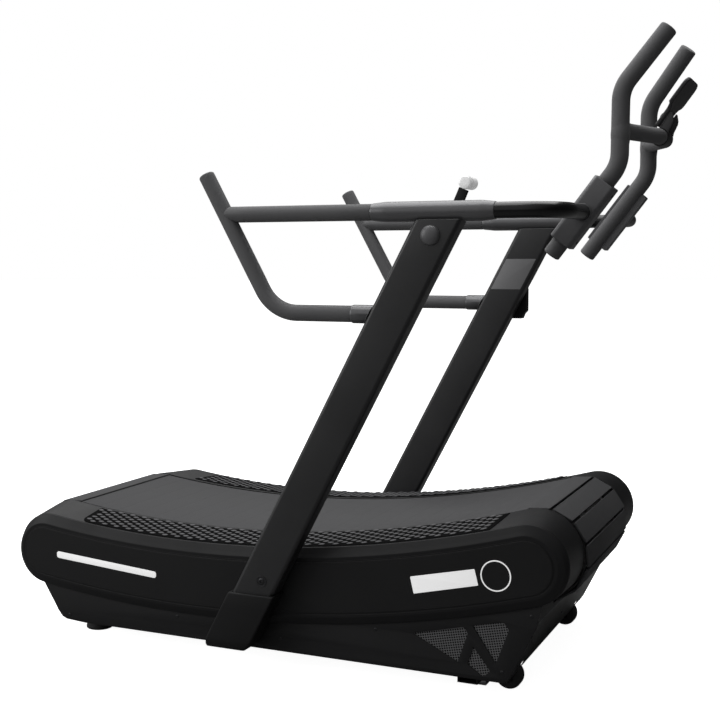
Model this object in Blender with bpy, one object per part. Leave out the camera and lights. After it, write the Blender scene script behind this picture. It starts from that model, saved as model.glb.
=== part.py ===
"""Curved, motorless treadmill: slatted belt on a concave bed, leaning uprights,
side rails with rear posts, front push handles, resistance lever and console.

Metres, +Z up.  +X is the front (the handle end), -Y the user's right side.
Origin: on the floor, below the middle of the machine's outline.  The pieces are
set out from a station on the centre plane, midway between the two end caps of
the base, and the finished machine is then moved by -ORIGIN.
"""
import bpy
import bmesh
from math import asin, ceil, copysign, cos, pi, radians, sin, sqrt, tan
from mathutils import Matrix, Vector

for old in list(bpy.data.objects):
    bpy.data.objects.remove(old, do_unlink=True)

# ----------------------------------------------------------- shared dimensions
GAP = 0.0004                 # clearance left between neighbouring solids
ORIGIN = Vector((0.09404, 0.0097, 0.0))   # middle of the outline, from the setting-out station
SIDES = ((-1, "right"), (1, "left"))      # sign of y and name suffix
X_AXIS = Vector((1, 0, 0))
Y_AXIS = Vector((0, 1, 0))
Z_AXIS = Vector((0, 0, 1))

# running path: one circular arc carries the belt and the shape of the covers
ARC_X = -0.2126              # x of the lowest point of the arc
ARC_LOW = 0.197              # height of the centre line there
ARC_R = 3.268                # radius of the centre line
ARC_Z = ARC_LOW + ARC_R      # height of the arc's centre
DRUM_X = 0.684               # both drums sit this far from the station
FRONT_ANGLE = asin((DRUM_X - ARC_X) / ARC_R)
REAR_ANGLE = asin((DRUM_X + ARC_X) / ARC_R)
ARC_ANGLE = FRONT_ANGLE + REAR_ANGLE
FRONT_Z = ARC_Z - ARC_R * cos(FRONT_ANGLE)
REAR_Z = ARC_Z - ARC_R * cos(REAR_ANGLE)
DRUM_CENTRES = ((DRUM_X, FRONT_Z), (-DRUM_X, REAR_Z))

# parts that several sections fit round
FOOT_X = -0.575
FOOT_Y = 0.270
WHEEL_X = 0.622
WHEEL_Y = 0.277
WHEEL_Z = 0.0342
MAGNET_PIVOT = Vector((0.585, 0, 0.255))
RAIL_Z = 1.141               # upper hand rail
SLEEVE_R = 0.0235
HANDLE_R = 0.0202

# beams of the base: x from, x to, half length in y, z from, z to
MIDDLE_BEAM = (-0.108, -0.026, 0.4340, 0.0585, 0.0825)
REAR_BEAM = (FOOT_X - 0.0215, FOOT_X + 0.025, 0.370, 0.048, 0.078)
FRONT_BEAM = (0.520, 0.570, 0.370, 0.030, 0.066)


# ------------------------------------------------------------------- materials
def material(name, rgb, roughness, metallic=0.0):
    made = bpy.data.materials.new(name)
    made.use_nodes = True
    shader = made.node_tree.nodes["Principled BSDF"]
    shader.inputs["Base Color"].default_value = (*rgb, 1.0)
    shader.inputs["Roughness"].default_value = roughness
    shader.inputs["Metallic"].default_value = metallic
    return made


M_FRAME = material("black_powder_coat", rgb=(0.012, 0.012, 0.013), roughness=0.55, metallic=0.2)
M_UPRIGHT = material("satin_black_paint", rgb=(0.015, 0.015, 0.016), roughness=0.45, metallic=0.3)
M_COVER = material("black_cover_plastic", rgb=(0.012, 0.012, 0.013), roughness=0.5)
M_PLATE = material("side_plate_plastic", rgb=(0.009, 0.009, 0.010), roughness=0.6)
M_TREAD = material("tread_rubber", rgb=(0.03, 0.03, 0.032), roughness=0.8)
M_BELT = material("slat_rubber", rgb=(0.075, 0.075, 0.078), roughness=0.85)
M_STEEL = material("turned_steel", rgb=(0.5, 0.5, 0.52), roughness=0.3, metallic=1.0)
M_FOAM = material("foam_grip", rgb=(0.055, 0.055, 0.057), roughness=0.9)
M_SATIN = material("satin_grey_paint", rgb=(0.06, 0.06, 0.062), roughness=0.4, metallic=0.4)
M_GLOSS = material("gloss_black_paint", rgb=(0.006, 0.006, 0.007), roughness=0.2, metallic=0.2)
M_KNOB = material("bright_knob", rgb=(0.8, 0.8, 0.8), roughness=0.25, metallic=0.9)
M_RUBBER = material("foot_rubber", rgb=(0.02, 0.02, 0.02), roughness=0.9)
M_ZINC = material("zinc_plate", rgb=(0.35, 0.35, 0.36), roughness=0.4, metallic=0.9)
M_MESH = material("perforated_sheet", rgb=(0.04, 0.04, 0.042), roughness=0.6, metallic=0.3)
M_CONSOLE = material("console_plastic", rgb=(0.02, 0.02, 0.021), roughness=0.5)
M_SCREEN = material("screen_glass", rgb=(0.01, 0.012, 0.013), roughness=0.1)
M_BUTTON = material("button_rubber", rgb=(0.12, 0.12, 0.12), roughness=0.7)


# --------------------------------------------------------------- solid helpers
# Solids made without a name are tools or parts, used up by weld() or cut().
def loft(rings, name, mat, closed=False, smooth=None):
    """Skin a list of equal-length rings; closed joins the last to the first.
    smooth is the angle in degrees below which edges are shaded smooth."""
    bm = bmesh.new()
    rows = [[bm.verts.new(point) for point in ring] for ring in rings]
    count = len(rows[0])
    pairs = list(zip(rows[:-1], rows[1:]))
    if closed:
        pairs.append((rows[-1], rows[0]))
    for here, there in pairs:
        for i in range(count):
            j = (i + 1) % count
            bm.faces.new((here[i], here[j], there[j], there[i]))
    if not closed:
        bm.faces.new(rows[0])
        bm.faces.new(rows[-1])
    bmesh.ops.remove_doubles(bm, verts=bm.verts, dist=1e-6)
    bmesh.ops.recalc_face_normals(bm, faces=bm.faces)
    mesh = bpy.data.meshes.new(name)
    bm.to_mesh(mesh)
    bm.free()
    piece = bpy.data.objects.new(name, mesh)
    bpy.context.scene.collection.objects.link(piece)
    mesh.materials.append(mat)
    if smooth is not None:
        mesh.shade_smooth()
        mesh.set_sharp_from_angle(angle=radians(smooth))
    return piece


def prism(outline, y0, y1, name="tool", mat=M_FRAME):
    """Extrude an (x, z) outline between two Y planes."""
    return loft([[Vector((x, y, z)) for x, z in outline] for y in (y0, y1)], name, mat)


def box(x0, x1, y0, y1, z0, z1, name="tool", mat=M_FRAME):
    return prism([(x0, z0), (x1, z0), (x1, z1), (x0, z1)], y0, y1, name, mat)


def circle(count, radius):
    angles = [2 * pi * i / count for i in range(count)]
    return [(radius * cos(angle), radius * sin(angle)) for angle in angles]


def round_ring(centre, across, up, radius, count):
    return [centre + across * a + up * b for a, b in circle(count, radius)]


def rod(start, end, radius, count=24):
    """Plain round bar between two points."""
    start, end = Vector(start), Vector(end)
    axis = (end - start).normalized()
    across = axis.orthogonal().normalized()
    up = axis.cross(across)
    rings = [round_ring(centre, across, up, radius, count) for centre in (start, end)]
    return loft(rings, "tool", M_FRAME, smooth=30)


def rod_y(x, z, y0, y1, radius, count):
    return rod((x, y0, z), (x, y1, z), radius, count)


def turned(profile, origin, axis, up, name, mat, count=24, closed=False):
    """Turned piece: profile of (distance along the axis, radius)."""
    side = axis.cross(up)
    origin = Vector(origin)
    rings = [round_ring(origin + axis * along, up, side, radius, count)
             for along, radius in profile]
    return loft(rings, name, mat, closed=closed, smooth=30)


def fillet_path(points, radii, step=15):
    """Round the corners of a polyline; radii holds one value per inner point,
    step is the largest turn in degrees between the points of a corner."""
    points = [Vector(point) for point in points]
    path = [points[0]]
    for before, corner, after, radius in zip(points, points[1:], points[2:], radii):
        back, ahead = (before - corner).normalized(), (after - corner).normalized()
        turn = pi - back.angle(ahead)
        setback = radius * tan(turn / 2)
        centre = corner + (back + ahead).normalized() * (radius / cos(turn / 2))
        to_start = corner + back * setback - centre
        to_end = corner + ahead * setback - centre
        count = max(2, int(ceil(turn / radians(step))))
        for i in range(count + 1):
            part = i / count
            arm = (to_start * sin((1 - part) * turn) + to_end * sin(part * turn)) / sin(turn)
            path.append(centre + arm)
    path.append(points[-1])
    return path


def frames(path):
    """Centre, across, up and tangent at each point, carried along without twist."""
    result = []
    across = Y_AXIS
    steps = [(there - here).normalized() for here, there in zip(path[:-1], path[1:])]
    for i, point in enumerate(path):
        if i == 0:
            tangent = steps[0]
            across = (across - tangent * across.dot(tangent)).normalized()
        elif i == len(path) - 1:
            tangent = steps[-1]
        else:
            tangent = (steps[i] + steps[i - 1]).normalized()
        across = (across - tangent * across.dot(tangent)).normalized()
        result.append((point, across, tangent.cross(across), tangent))
    return result


def tube(path, radius, name, mat, count=16, soft=(0.0, 0.0)):
    """Round bar along a path; soft rounds the start and end over that length."""
    def end_rings(frame, length, inward):
        point, across, up, tangent = frame
        if length == 0:
            return [round_ring(point, across, up, radius, count)]
        rings = []
        for part in (0.0, 0.3, 0.65, 1.0):
            centre = point + tangent * (inward * length * (1 - cos(part * pi / 2)))
            ring_r = radius - length + length * sin(part * pi / 2)
            rings.append(round_ring(centre, across, up, ring_r, count))
        return rings

    first, *middle, last = frames(path)
    rings = end_rings(first, soft[0], 1)
    rings += [round_ring(point, across, up, radius, count) for point, across, up, _ in middle]
    rings += end_rings(last, soft[1], -1)[::-1]
    return loft(rings, name, mat, smooth=40)


def combine(target, tool, operation):
    """Boolean the tool into the target and keep the result as plain mesh."""
    mat = target.data.materials[0]
    modifier = target.modifiers.new(operation.lower(), 'BOOLEAN')
    modifier.operation = operation
    modifier.solver = 'EXACT'
    modifier.object = tool
    bpy.context.view_layer.update()
    depsgraph = bpy.context.evaluated_depsgraph_get()
    mesh = bpy.data.meshes.new_from_object(target.evaluated_get(depsgraph))
    target.modifiers.clear()
    target.data = mesh
    mesh.materials.clear()
    mesh.materials.append(mat)
    for face in mesh.polygons:
        face.material_index = 0
    bpy.data.objects.remove(tool, do_unlink=True)


def weld(target, *tools):
    for tool in tools:
        combine(target, tool, 'UNION')


def cut(target, *tools):
    for tool in tools:
        combine(target, tool, 'DIFFERENCE')


def set_origin(piece, point):
    """Move the object's origin to a point without moving its shape."""
    point = Vector(point)
    piece.data.transform(Matrix.Translation(-point))
    piece.location = point


# ---------------------------------------------------------- running path helpers
def arc_point(angle, offset):
    """(x, z) at an angle about the arc's centre, offset outwards (down) positive."""
    return (ARC_X + (ARC_R + offset) * sin(angle), ARC_Z - (ARC_R + offset) * cos(angle))


def arc_points(start, end, offset, steps):
    return [arc_point(start + (end - start) * i / steps, offset) for i in range(steps + 1)]


def path_outline(top, low, arc_steps=14, end_steps=8):
    """(x, z) outline at an offset from the centre line: over the arc, round the
    front drum, back below and round the rear drum."""
    def drum_point(x, z, angle, turn):
        radius = low + (top - low) * (1 + cos(turn)) / 2
        return (x + radius * sin(angle), z + radius * cos(angle))

    turns = [pi * i / end_steps for i in range(1, end_steps)]
    points = arc_points(-REAR_ANGLE, FRONT_ANGLE, -top, arc_steps)
    points += [drum_point(DRUM_X, FRONT_Z, turn - FRONT_ANGLE, turn) for turn in turns]
    points += arc_points(FRONT_ANGLE, -REAR_ANGLE, low, arc_steps)
    points += [drum_point(-DRUM_X, REAR_Z, REAR_ANGLE - (pi - turn), pi - turn)
               for turn in turns]
    return points


def centre_z(x):
    """Height of the centre line at x."""
    return ARC_Z - sqrt(ARC_R ** 2 - (x - ARC_X) ** 2)


# ------------------------------------------------------------------------ belt
BELT_R = 0.114               # outer face of the slats from the centre line
BELT_HALF = 0.2285           # half the running width
SLAT_DEPTH = 0.0055          # depth of the groove between slats
BELT_DEPTH = 0.010           # slat plus carrier belt
JOINT_LEAD = 0.0055          # first joint sits this far behind the front drum
TOP_SLATS, END_SLATS, LOW_SLATS = 22, 6, 24
SLAT_EDGE = 0.0008           # from the joint to a slat's edge at its outer face
SLAT_FOOT = 0.0020           # the same at the bottom of the groove
CARRIER_END = 0.0022         # from the joint to the end of the carrier belt

TOP_LENGTH = ARC_ANGLE * (ARC_R - BELT_R)
LOW_LENGTH = ARC_ANGLE * (ARC_R + BELT_R)
END_LENGTH = pi * BELT_R
BELT_LENGTH = TOP_LENGTH + LOW_LENGTH + 2 * END_LENGTH
PITCH = BELT_LENGTH / (TOP_SLATS + LOW_SLATS + 2 * END_SLATS)


def belt_on_drum(x, z, angle):
    outward = Vector((sin(angle), 0, cos(angle)))
    return Vector((x, 0, z)) + outward * BELT_R, Vector((cos(angle), 0, -sin(angle))), outward


def belt_at(distance):
    """Point, running direction and outward normal of the slat face, at a distance
    counted from the rear top tangent point, forwards along the top."""
    distance = distance % BELT_LENGTH
    if distance < TOP_LENGTH:
        angle = -REAR_ANGLE + distance / (ARC_R - BELT_R)
        x, z = arc_point(angle, -BELT_R)
        return (Vector((x, 0, z)), Vector((cos(angle), 0, sin(angle))),
                Vector((-sin(angle), 0, cos(angle))))
    distance -= TOP_LENGTH
    if distance < END_LENGTH:
        return belt_on_drum(DRUM_X, FRONT_Z, -FRONT_ANGLE + distance / BELT_R)
    distance -= END_LENGTH
    if distance < LOW_LENGTH:
        angle = FRONT_ANGLE - distance / (ARC_R + BELT_R)
        x, z = arc_point(angle, BELT_R)
        return (Vector((x, 0, z)), Vector((-cos(angle), 0, -sin(angle))),
                Vector((sin(angle), 0, -cos(angle))))
    distance -= LOW_LENGTH
    return belt_on_drum(-DRUM_X, REAR_Z, -pi + REAR_ANGLE + distance / BELT_R)


def belt_run(start, count, name, origin):
    """count slats on their carrier belt, from the joint at start."""
    half_face, half_foot = PITCH / 2 - SLAT_EDGE, PITCH / 2 - SLAT_FOOT
    outer = []
    for i in range(count):
        face, along, outward = belt_at(start + (i + 0.5) * PITCH)
        foot = face - outward * SLAT_DEPTH
        outer += [foot - along * half_foot, face - along * half_face,
                  face + along * half_face, foot + along * half_foot]
    marks = [start + CARRIER_END]
    marks += [start + i * PITCH / 2 for i in range(1, 2 * count)]
    marks += [start + count * PITCH - CARRIER_END]
    inner = []
    for mark in marks:
        face, _, outward = belt_at(mark)
        inner.append(face - outward * BELT_DEPTH)
    outline = [(point.x, point.z) for point in outer + inner[::-1]]
    set_origin(prism(outline, -BELT_HALF, BELT_HALF, name, M_BELT), origin)


def build_belt():
    front = TOP_LENGTH - JOINT_LEAD
    low = front + END_SLATS * PITCH
    rear = front + (END_SLATS + LOW_SLATS) * PITCH
    arc_centre = (ARC_X, 0, ARC_Z)
    belt_run(front - TOP_SLATS * PITCH, TOP_SLATS, "belt_upper", arc_centre)
    belt_run(front, END_SLATS, "belt_front", (DRUM_X, 0, FRONT_Z))
    belt_run(low, LOW_SLATS, "belt_lower", arc_centre)
    belt_run(rear, END_SLATS, "belt_rear", (-DRUM_X, 0, REAR_Z))


# ------------------------------------------------------------- drums and brake
SHAFT_R = 0.0122
SHAFT_CHAMFER = 0.002
DRUM_R = 0.1015
DRUM_HALF = 0.1930
DRUM_CHAMFER = 0.004
RIM_INNER_Y = 0.1300         # each drum is two rims joined by a thinner core
CORE_R = 0.045

# closed profiles: y, radius
DISC = [(-0.2790, 0.0135), (-0.2790, 0.0780), (-0.2750, 0.0780), (-0.2750, 0.0135)]
HUB = [(-0.2850, 0.0040), (-0.2850, 0.0220), (-0.2725, 0.0220), (-0.2725, 0.0040)]


def build_drum(name, x, z, y_low, y_high):
    rim = [(DRUM_HALF, SHAFT_R), (DRUM_HALF, DRUM_R - DRUM_CHAMFER),
           (DRUM_HALF - DRUM_CHAMFER, DRUM_R), (RIM_INNER_Y, DRUM_R), (RIM_INNER_Y, CORE_R)]
    profile = [(y_low, SHAFT_R - SHAFT_CHAMFER), (y_low + SHAFT_CHAMFER, SHAFT_R)]
    profile += [(-y, radius) for y, radius in rim] + rim[::-1]
    profile += [(y_high - SHAFT_CHAMFER, SHAFT_R), (y_high, SHAFT_R - SHAFT_CHAMFER)]
    drum = turned(profile, (x, 0, z), Y_AXIS, Z_AXIS, name, M_STEEL, count=20)
    set_origin(drum, (x, 0, z))


def build_brake_disc():
    centre = (DRUM_X, 0, FRONT_Z)
    disc = turned(DISC, centre, Y_AXIS, Z_AXIS, "brake_disc", M_STEEL, closed=True)
    weld(disc, turned(HUB, centre, Y_AXIS, Z_AXIS, "tool", M_STEEL, closed=True))
    set_origin(disc, centre)


def build_magnet_bracket():
    """Two cheeks either side of the disc rim, on a pivot pin."""
    to_disc = (Vector((DRUM_X, 0, FRONT_Z)) - MAGNET_PIVOT).normalized()
    across = Vector((-to_disc.z, 0, to_disc.x))

    def block(start, end, half, y0, y1, name="tool"):
        corners = [MAGNET_PIVOT + to_disc * along + across * width
                   for along, width in ((start, -half), (end, -half), (end, half), (start, half))]
        return prism([(corner.x, corner.z) for corner in corners], y0, y1, name, M_ZINC)

    bracket = block(-0.013, 0.036, 0.0125, -0.2880, -0.2660, "magnet_bracket")
    weld(bracket, block(0.030, 0.060, 0.0124, -0.2879, -0.2815),
         block(0.030, 0.060, 0.0124, -0.2725, -0.2661))
    cut(bracket, rod_y(MAGNET_PIVOT.x, MAGNET_PIVOT.z, -0.30, -0.25, 0.0056, 20))
    set_origin(bracket, MAGNET_PIVOT)


# ------------------------------------------------------------------ base frame
PLATE_IN_Y, PLATE_OUT_Y = 0.2312, 0.2352    # faces of the two upright side plates
FRAME_PLATE_R = 0.078        # edge of the plates from the centre line
# legs from the beams up to the plates: x from, x to, z from
LEGS = ((MIDDLE_BEAM[0] + 0.01, MIDDLE_BEAM[1] - 0.01, 0.070),
        (FOOT_X - 0.02, FOOT_X + 0.02, 0.066), (0.525, 0.565, 0.058))
LEG_INSET = 0.0001           # keeps the legs' faces off the plates' faces
CROSS_X = (-0.44, -0.065, 0.32)   # cross tubes between the side plates
CROSS_HALF_X = 0.020
CROSS_HALF_Y = 0.2330
CROSS_BELOW, CROSS_ABOVE = 0.050, 0.060     # from the centre line
BEAM_WALL = 0.003
CUT_OVERRUN = 0.006          # cuts run past the open ends of the beams
BOSS_R, BOSS_END_Y = 0.030, 0.2550
BOSS_BORE_R = 0.0134
CHEEK_Y = 0.019              # wheel cheeks, either side of the wheel's middle
CHEEK_HALF = 0.0018
AXLE_HALF = 0.020
PIN_R = 0.0050               # wheel axles and magnet pivot pin

GUIDE_INSET = 0.052 / ARC_R  # angle left free at both ends of the arc
GUIDE_TOP_R, GUIDE_LOW_R = 0.1028, 0.0780
GUIDE_IN_Y, GUIDE_OUT_Y = 0.1960, 0.2260
GUIDE_CLEAR = 0.0005         # clearance round the cross tubes


def cross_beam(x):
    z = centre_z(x)
    return (x - CROSS_HALF_X, x + CROSS_HALF_X, CROSS_HALF_Y, z - CROSS_BELOW, z + CROSS_ABOVE)


def beam_box(beam, wall=0.0, overrun=0.0, name="tool"):
    """Box for a beam, or for its hollow when a wall is given."""
    x0, x1, half, z0, z1 = beam
    return box(x0 + wall, x1 - wall, -half - overrun, half + overrun, z0 + wall, z1 - wall, name)


def side_plate_parts(side):
    y0, y1 = side * PLATE_IN_Y, side * PLATE_OUT_Y
    parts = [prism(path_outline(FRAME_PLATE_R, FRAME_PLATE_R, 8, 8), y0, y1)]
    for x0, x1, z in LEGS:
        parts.append(box(x0, x1, y0 + side * LEG_INSET, y1 - side * LEG_INSET,
                         z, centre_z((x0 + x1) / 2)))
    return parts


def boss_and_wheel_parts(side):
    parts = [rod_y(x, z, side * 0.2314, side * BOSS_END_Y, BOSS_R, 16) for x, z in DRUM_CENTRES]
    for cheek in (WHEEL_Y - CHEEK_Y, WHEEL_Y + CHEEK_Y):
        y = side * cheek
        parts.append(box(0.556, 0.6325, y - CHEEK_HALF, y + CHEEK_HALF, 0.0236, 0.0480))
    parts.append(rod_y(WHEEL_X, WHEEL_Z, side * (WHEEL_Y - AXLE_HALF),
                       side * (WHEEL_Y + AXLE_HALF), PIN_R, 16))
    return parts


def build_base_frame():
    frame = beam_box(MIDDLE_BEAM, name="base_frame")
    parts = [beam_box(REAR_BEAM), beam_box(FRONT_BEAM)]
    for side, _ in SIDES:
        parts += side_plate_parts(side)
    parts += [beam_box(cross_beam(x)) for x in CROSS_X]
    for side, _ in SIDES:
        parts += boss_and_wheel_parts(side)
    parts.append(rod_y(MAGNET_PIVOT.x, MAGNET_PIVOT.z, -0.2330, -0.2910, PIN_R, 16))
    weld(frame, *parts)
    for side, _ in SIDES:
        for x, z in DRUM_CENTRES:
            cut(frame, rod_y(x, z, side * 0.2200, side * 0.2620, BOSS_BORE_R, 16))
        y = side * FOOT_Y
        cut(frame, rod((FOOT_X, y, 0.030), (FOOT_X, y, 0.084), 0.0088, 20))
    # the beams and cross tubes are hollow sections with open ends
    for beam in [REAR_BEAM, FRONT_BEAM, MIDDLE_BEAM] + [cross_beam(x) for x in CROSS_X]:
        cut(frame, beam_box(beam, wall=BEAM_WALL, overrun=CUT_OVERRUN))


def build_belt_guide(side, tag):
    """Guide the slats run on, cut away round the cross tubes."""
    start, end = -REAR_ANGLE + GUIDE_INSET, FRONT_ANGLE - GUIDE_INSET
    outline = arc_points(start, end, -GUIDE_TOP_R, 14) + arc_points(end, start, -GUIDE_LOW_R, 14)
    guide = prism(outline, side * GUIDE_IN_Y, side * GUIDE_OUT_Y, "belt_guide_" + tag, M_ZINC)
    reach = CROSS_HALF_X + GUIDE_CLEAR
    for x in CROSS_X:
        z = centre_z(x)
        cut(guide, box(x - reach, x + reach, side * 0.19, side * 0.235,
                       z - 0.06, z + CROSS_ABOVE + GUIDE_CLEAR))


# ---------------------------------------------------------------------- covers
COVER_IN_Y, COVER_MID_Y, COVER_LIP_Y, COVER_OUT_Y = 0.2365, 0.345, 0.3605, 0.370
COVER_IN_R, COVER_MID_R, COVER_LIP_R, COVER_OUT_R = 0.1155, 0.0965, 0.0835, 0.075
LOW_IN_R, LOW_MID_R, LOW_LIP_R, LOW_OUT_R = 0.1000, 0.0970, 0.0945, 0.0750
WALL = 0.004
END_PLATE_R = 0.064
END_PLATE_DEPTH = 0.0014

# The covers are laid out on a narrow section, then spread sideways to their real
# width.  Each point slides along the line to an apex far out to the side (left
# cover as given, mirrored for the right), so the sections shrink slightly.
# laid-out distance from the middle, real distance
COVER_SPREAD = ((0.2365, 0.2365), (0.3450, 0.3830), (0.3605, 0.3905),
                (0.3700, 0.3955), (0.3722, 0.3977))
APEX = (1.406, 2.993, 1.029)
SKIRT_SHRINK = 0.99051       # shrink for everything in the skirt plane


def cover_top(y):
    """Top of the cover above the centre line at a distance y from the middle."""
    return COVER_IN_R + (COVER_MID_R - COVER_IN_R) * (y - COVER_IN_Y) / (COVER_MID_Y - COVER_IN_Y)


def widen(point):
    y = wide = abs(point.y)
    for (y0, wide0), (y1, wide1) in zip(COVER_SPREAD[:-1], COVER_SPREAD[1:]):
        if y0 < y <= y1:
            wide = wide0 + (wide1 - wide0) * (y - y0) / (y1 - y0)
    shrink = (APEX[1] - wide) / (APEX[1] - y)
    return Vector((APEX[0] + (point.x - APEX[0]) * shrink, copysign(wide, point.y),
                   APEX[2] + (point.z - APEX[2]) * shrink))


def cover_ring(y, top, low):
    return [widen(Vector((x, y, z))) for x, z in path_outline(top, low)]


def build_cover(side, tag):
    # distance from the middle, top and bottom offset from the centre line
    inner = ((COVER_OUT_Y - WALL, COVER_OUT_R - WALL, LOW_OUT_R - WALL),
             (COVER_LIP_Y - 0.002, COVER_LIP_R - WALL, LOW_LIP_R - WALL),
             (COVER_MID_Y - 0.001, COVER_MID_R - WALL, LOW_MID_R - WALL),
             (COVER_IN_Y, COVER_IN_R - WALL, LOW_IN_R - WALL))
    outer = ((COVER_IN_Y, COVER_IN_R, LOW_IN_R),
             (0.300, cover_top(0.300), 0.0985),
             (COVER_MID_Y, COVER_MID_R, LOW_MID_R),
             (COVER_LIP_Y, COVER_LIP_R, LOW_LIP_R),
             (COVER_OUT_Y, COVER_OUT_R, LOW_OUT_R))
    rings = [cover_ring(side * y, top, low) for y, top, low in inner + outer]
    loft(rings, "side_cover_" + tag, M_COVER, smooth=25)
    loft([cover_ring(side * (COVER_OUT_Y + GAP + depth), END_PLATE_R, END_PLATE_R)
          for depth in (0.0, END_PLATE_DEPTH)], "cover_plate_" + tag, M_PLATE)


# Tread strips on top of the covers: rounded at the rear, cut on a slant in front.
# x at the inner edge, x at the outer edge, inner y, outer y
TREAD_REAR = [(-0.5830, -0.5830, 0.2650, 0.3200), (-0.5790, -0.5780, 0.2540, 0.3300),
              (-0.5700, -0.5680, 0.2475, 0.3370), (-0.5580, -0.5540, 0.2450, 0.3400)]
TREAD_FRONT_X = (0.610, 0.588)   # inner edge, outer edge
TREAD_STEPS = 18
TREAD_LOW, TREAD_TOP = 0.0009, 0.0040       # above the cover


def build_tread(side, tag):
    stations = list(TREAD_REAR)
    rear_in, rear_out, y_in, y_out = TREAD_REAR[-1]
    for i in range(1, TREAD_STEPS + 1):
        part = i / TREAD_STEPS
        stations.append((rear_in + (TREAD_FRONT_X[0] - rear_in) * part,
                         rear_out + (TREAD_FRONT_X[1] - rear_out) * part, y_in, y_out))
    rings = []
    for x_in, x_out, y_in, y_out in stations:
        ring = []
        for x, y, rise in ((x_in, y_in, TREAD_LOW), (x_out, y_out, TREAD_LOW),
                           (x_out, y_out, TREAD_TOP), (x_in, y_in, TREAD_TOP)):
            top = cover_top(y) + rise
            z = ARC_Z - sqrt((ARC_R - top) ** 2 - (x - ARC_X) ** 2)
            ring.append(widen(Vector((x, side * y, z))))
        rings.append(ring)
    loft(rings, "tread_strip_" + tag, M_TREAD)


# -------------------------------------------------- skirts and end panels
SKIRT_Y = 0.3845
SKIRT_DEPTH = 0.003
SKIRT_IN_Y = SKIRT_Y - SKIRT_DEPTH
SKIRT_R = 0.0951             # top edge of the skirt, below the centre line
SKIRT_CUT_Y = (0.376, 0.391)
MESH_DEPTH = 0.0012
PANEL_HALF = 0.3808

# outlines before the skirt shrink: x, z
SKIRT_BOTTOM = [(0.707, 0.178), (0.642, 0.047), (0.632, 0.0385), (-0.559, 0.0380),
                (-0.621, 0.0420), (-0.635, 0.0480), (-0.652, 0.0680)]
VENTS = ([(0.401, 0.131), (0.533, 0.1625), (0.5415, 0.1470), (0.5165, 0.0745)],
         [(0.553, 0.168), (0.630, 0.1855), (0.6425, 0.1680), (0.6110, 0.0830)],
         [(0.5555, 0.118), (0.5415, 0.0735), (0.579, 0.0470), (0.598, 0.0625)])
VENT_MESH = [(0.390, 0.040), (0.628, 0.042), (0.650, 0.100),
             (0.662, 0.1960), (0.540, 0.1760), (0.390, 0.1420)]
FRONT_PANEL = [(0.638, 0.041), (0.707, 0.178), (0.7125, 0.193),
               (0.7105, 0.1935), (0.705, 0.179), (0.636, 0.042)]
REAR_PANEL = [(-0.6190, 0.0430), (-0.6330, 0.0485), (-0.6510, 0.0700), (-0.6665, 0.0960),
              (-0.6645, 0.0970), (-0.6490, 0.0712), (-0.6315, 0.0502), (-0.6182, 0.0450)]


def in_skirt(outline):
    return [(APEX[0] + (x - APEX[0]) * SKIRT_SHRINK, APEX[2] + (z - APEX[2]) * SKIRT_SHRINK)
            for x, z in outline]


def build_skirt(side, tag):
    """Skirt below the cover, with its vents and the mesh behind them."""
    outline = arc_points(-REAR_ANGLE, FRONT_ANGLE, SKIRT_R, 16)
    for degrees in (4.6, 9.3):      # a little way up round the front drum
        angle = pi - FRONT_ANGLE - radians(degrees)
        outline.append((DRUM_X + SKIRT_R * sin(angle), FRONT_Z + SKIRT_R * cos(angle)))
    skirt = prism(in_skirt(outline + SKIRT_BOTTOM), side * SKIRT_Y, side * SKIRT_IN_Y,
                  "skirt_" + tag, M_COVER)
    y0, y1 = (side * y for y in SKIRT_CUT_Y)
    beam_x0, beam_x1, _, beam_z0, beam_z1 = MIDDLE_BEAM
    cut(skirt, box(beam_x0 - 0.006, beam_x1 + 0.006, y0, y1, beam_z0 - 0.003, beam_z1 + 0.003))
    for vent in VENTS:
        cut(skirt, prism(in_skirt(vent), y0, y1))
    mesh_y = SKIRT_IN_Y - GAP
    prism(in_skirt(VENT_MESH), side * mesh_y, side * (mesh_y - MESH_DEPTH),
          "vent_mesh_" + tag, M_MESH)


def build_end_panels():
    """Sloping sheets; the front one is notched over the transport wheels."""
    front = prism(in_skirt(FRONT_PANEL), -PANEL_HALF, PANEL_HALF, "front_panel")
    for side, _ in SIDES:
        cut(front, box(0.600, 0.680, side * (WHEEL_Y - 0.022), side * (WHEEL_Y + 0.022),
                       0.020, 0.082))
    prism(in_skirt(REAR_PANEL), -PANEL_HALF, PANEL_HALF, "rear_panel")


# ------------------------------------------------------------- feet and wheels
WHEEL_R = 0.0335
WHEEL_HALF = 0.015
WHEEL_CHAMFER = 0.004
WHEEL_BORE_R = 0.0056
# height, radius: pad, neck and threaded stem
REAR_FOOT = [(0.0, 0.0345), (0.002, 0.0375), (0.010, 0.0375), (0.017, 0.024),
             (0.0215, 0.014), (0.0215, 0.0080), (0.0850, 0.0080)]


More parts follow.
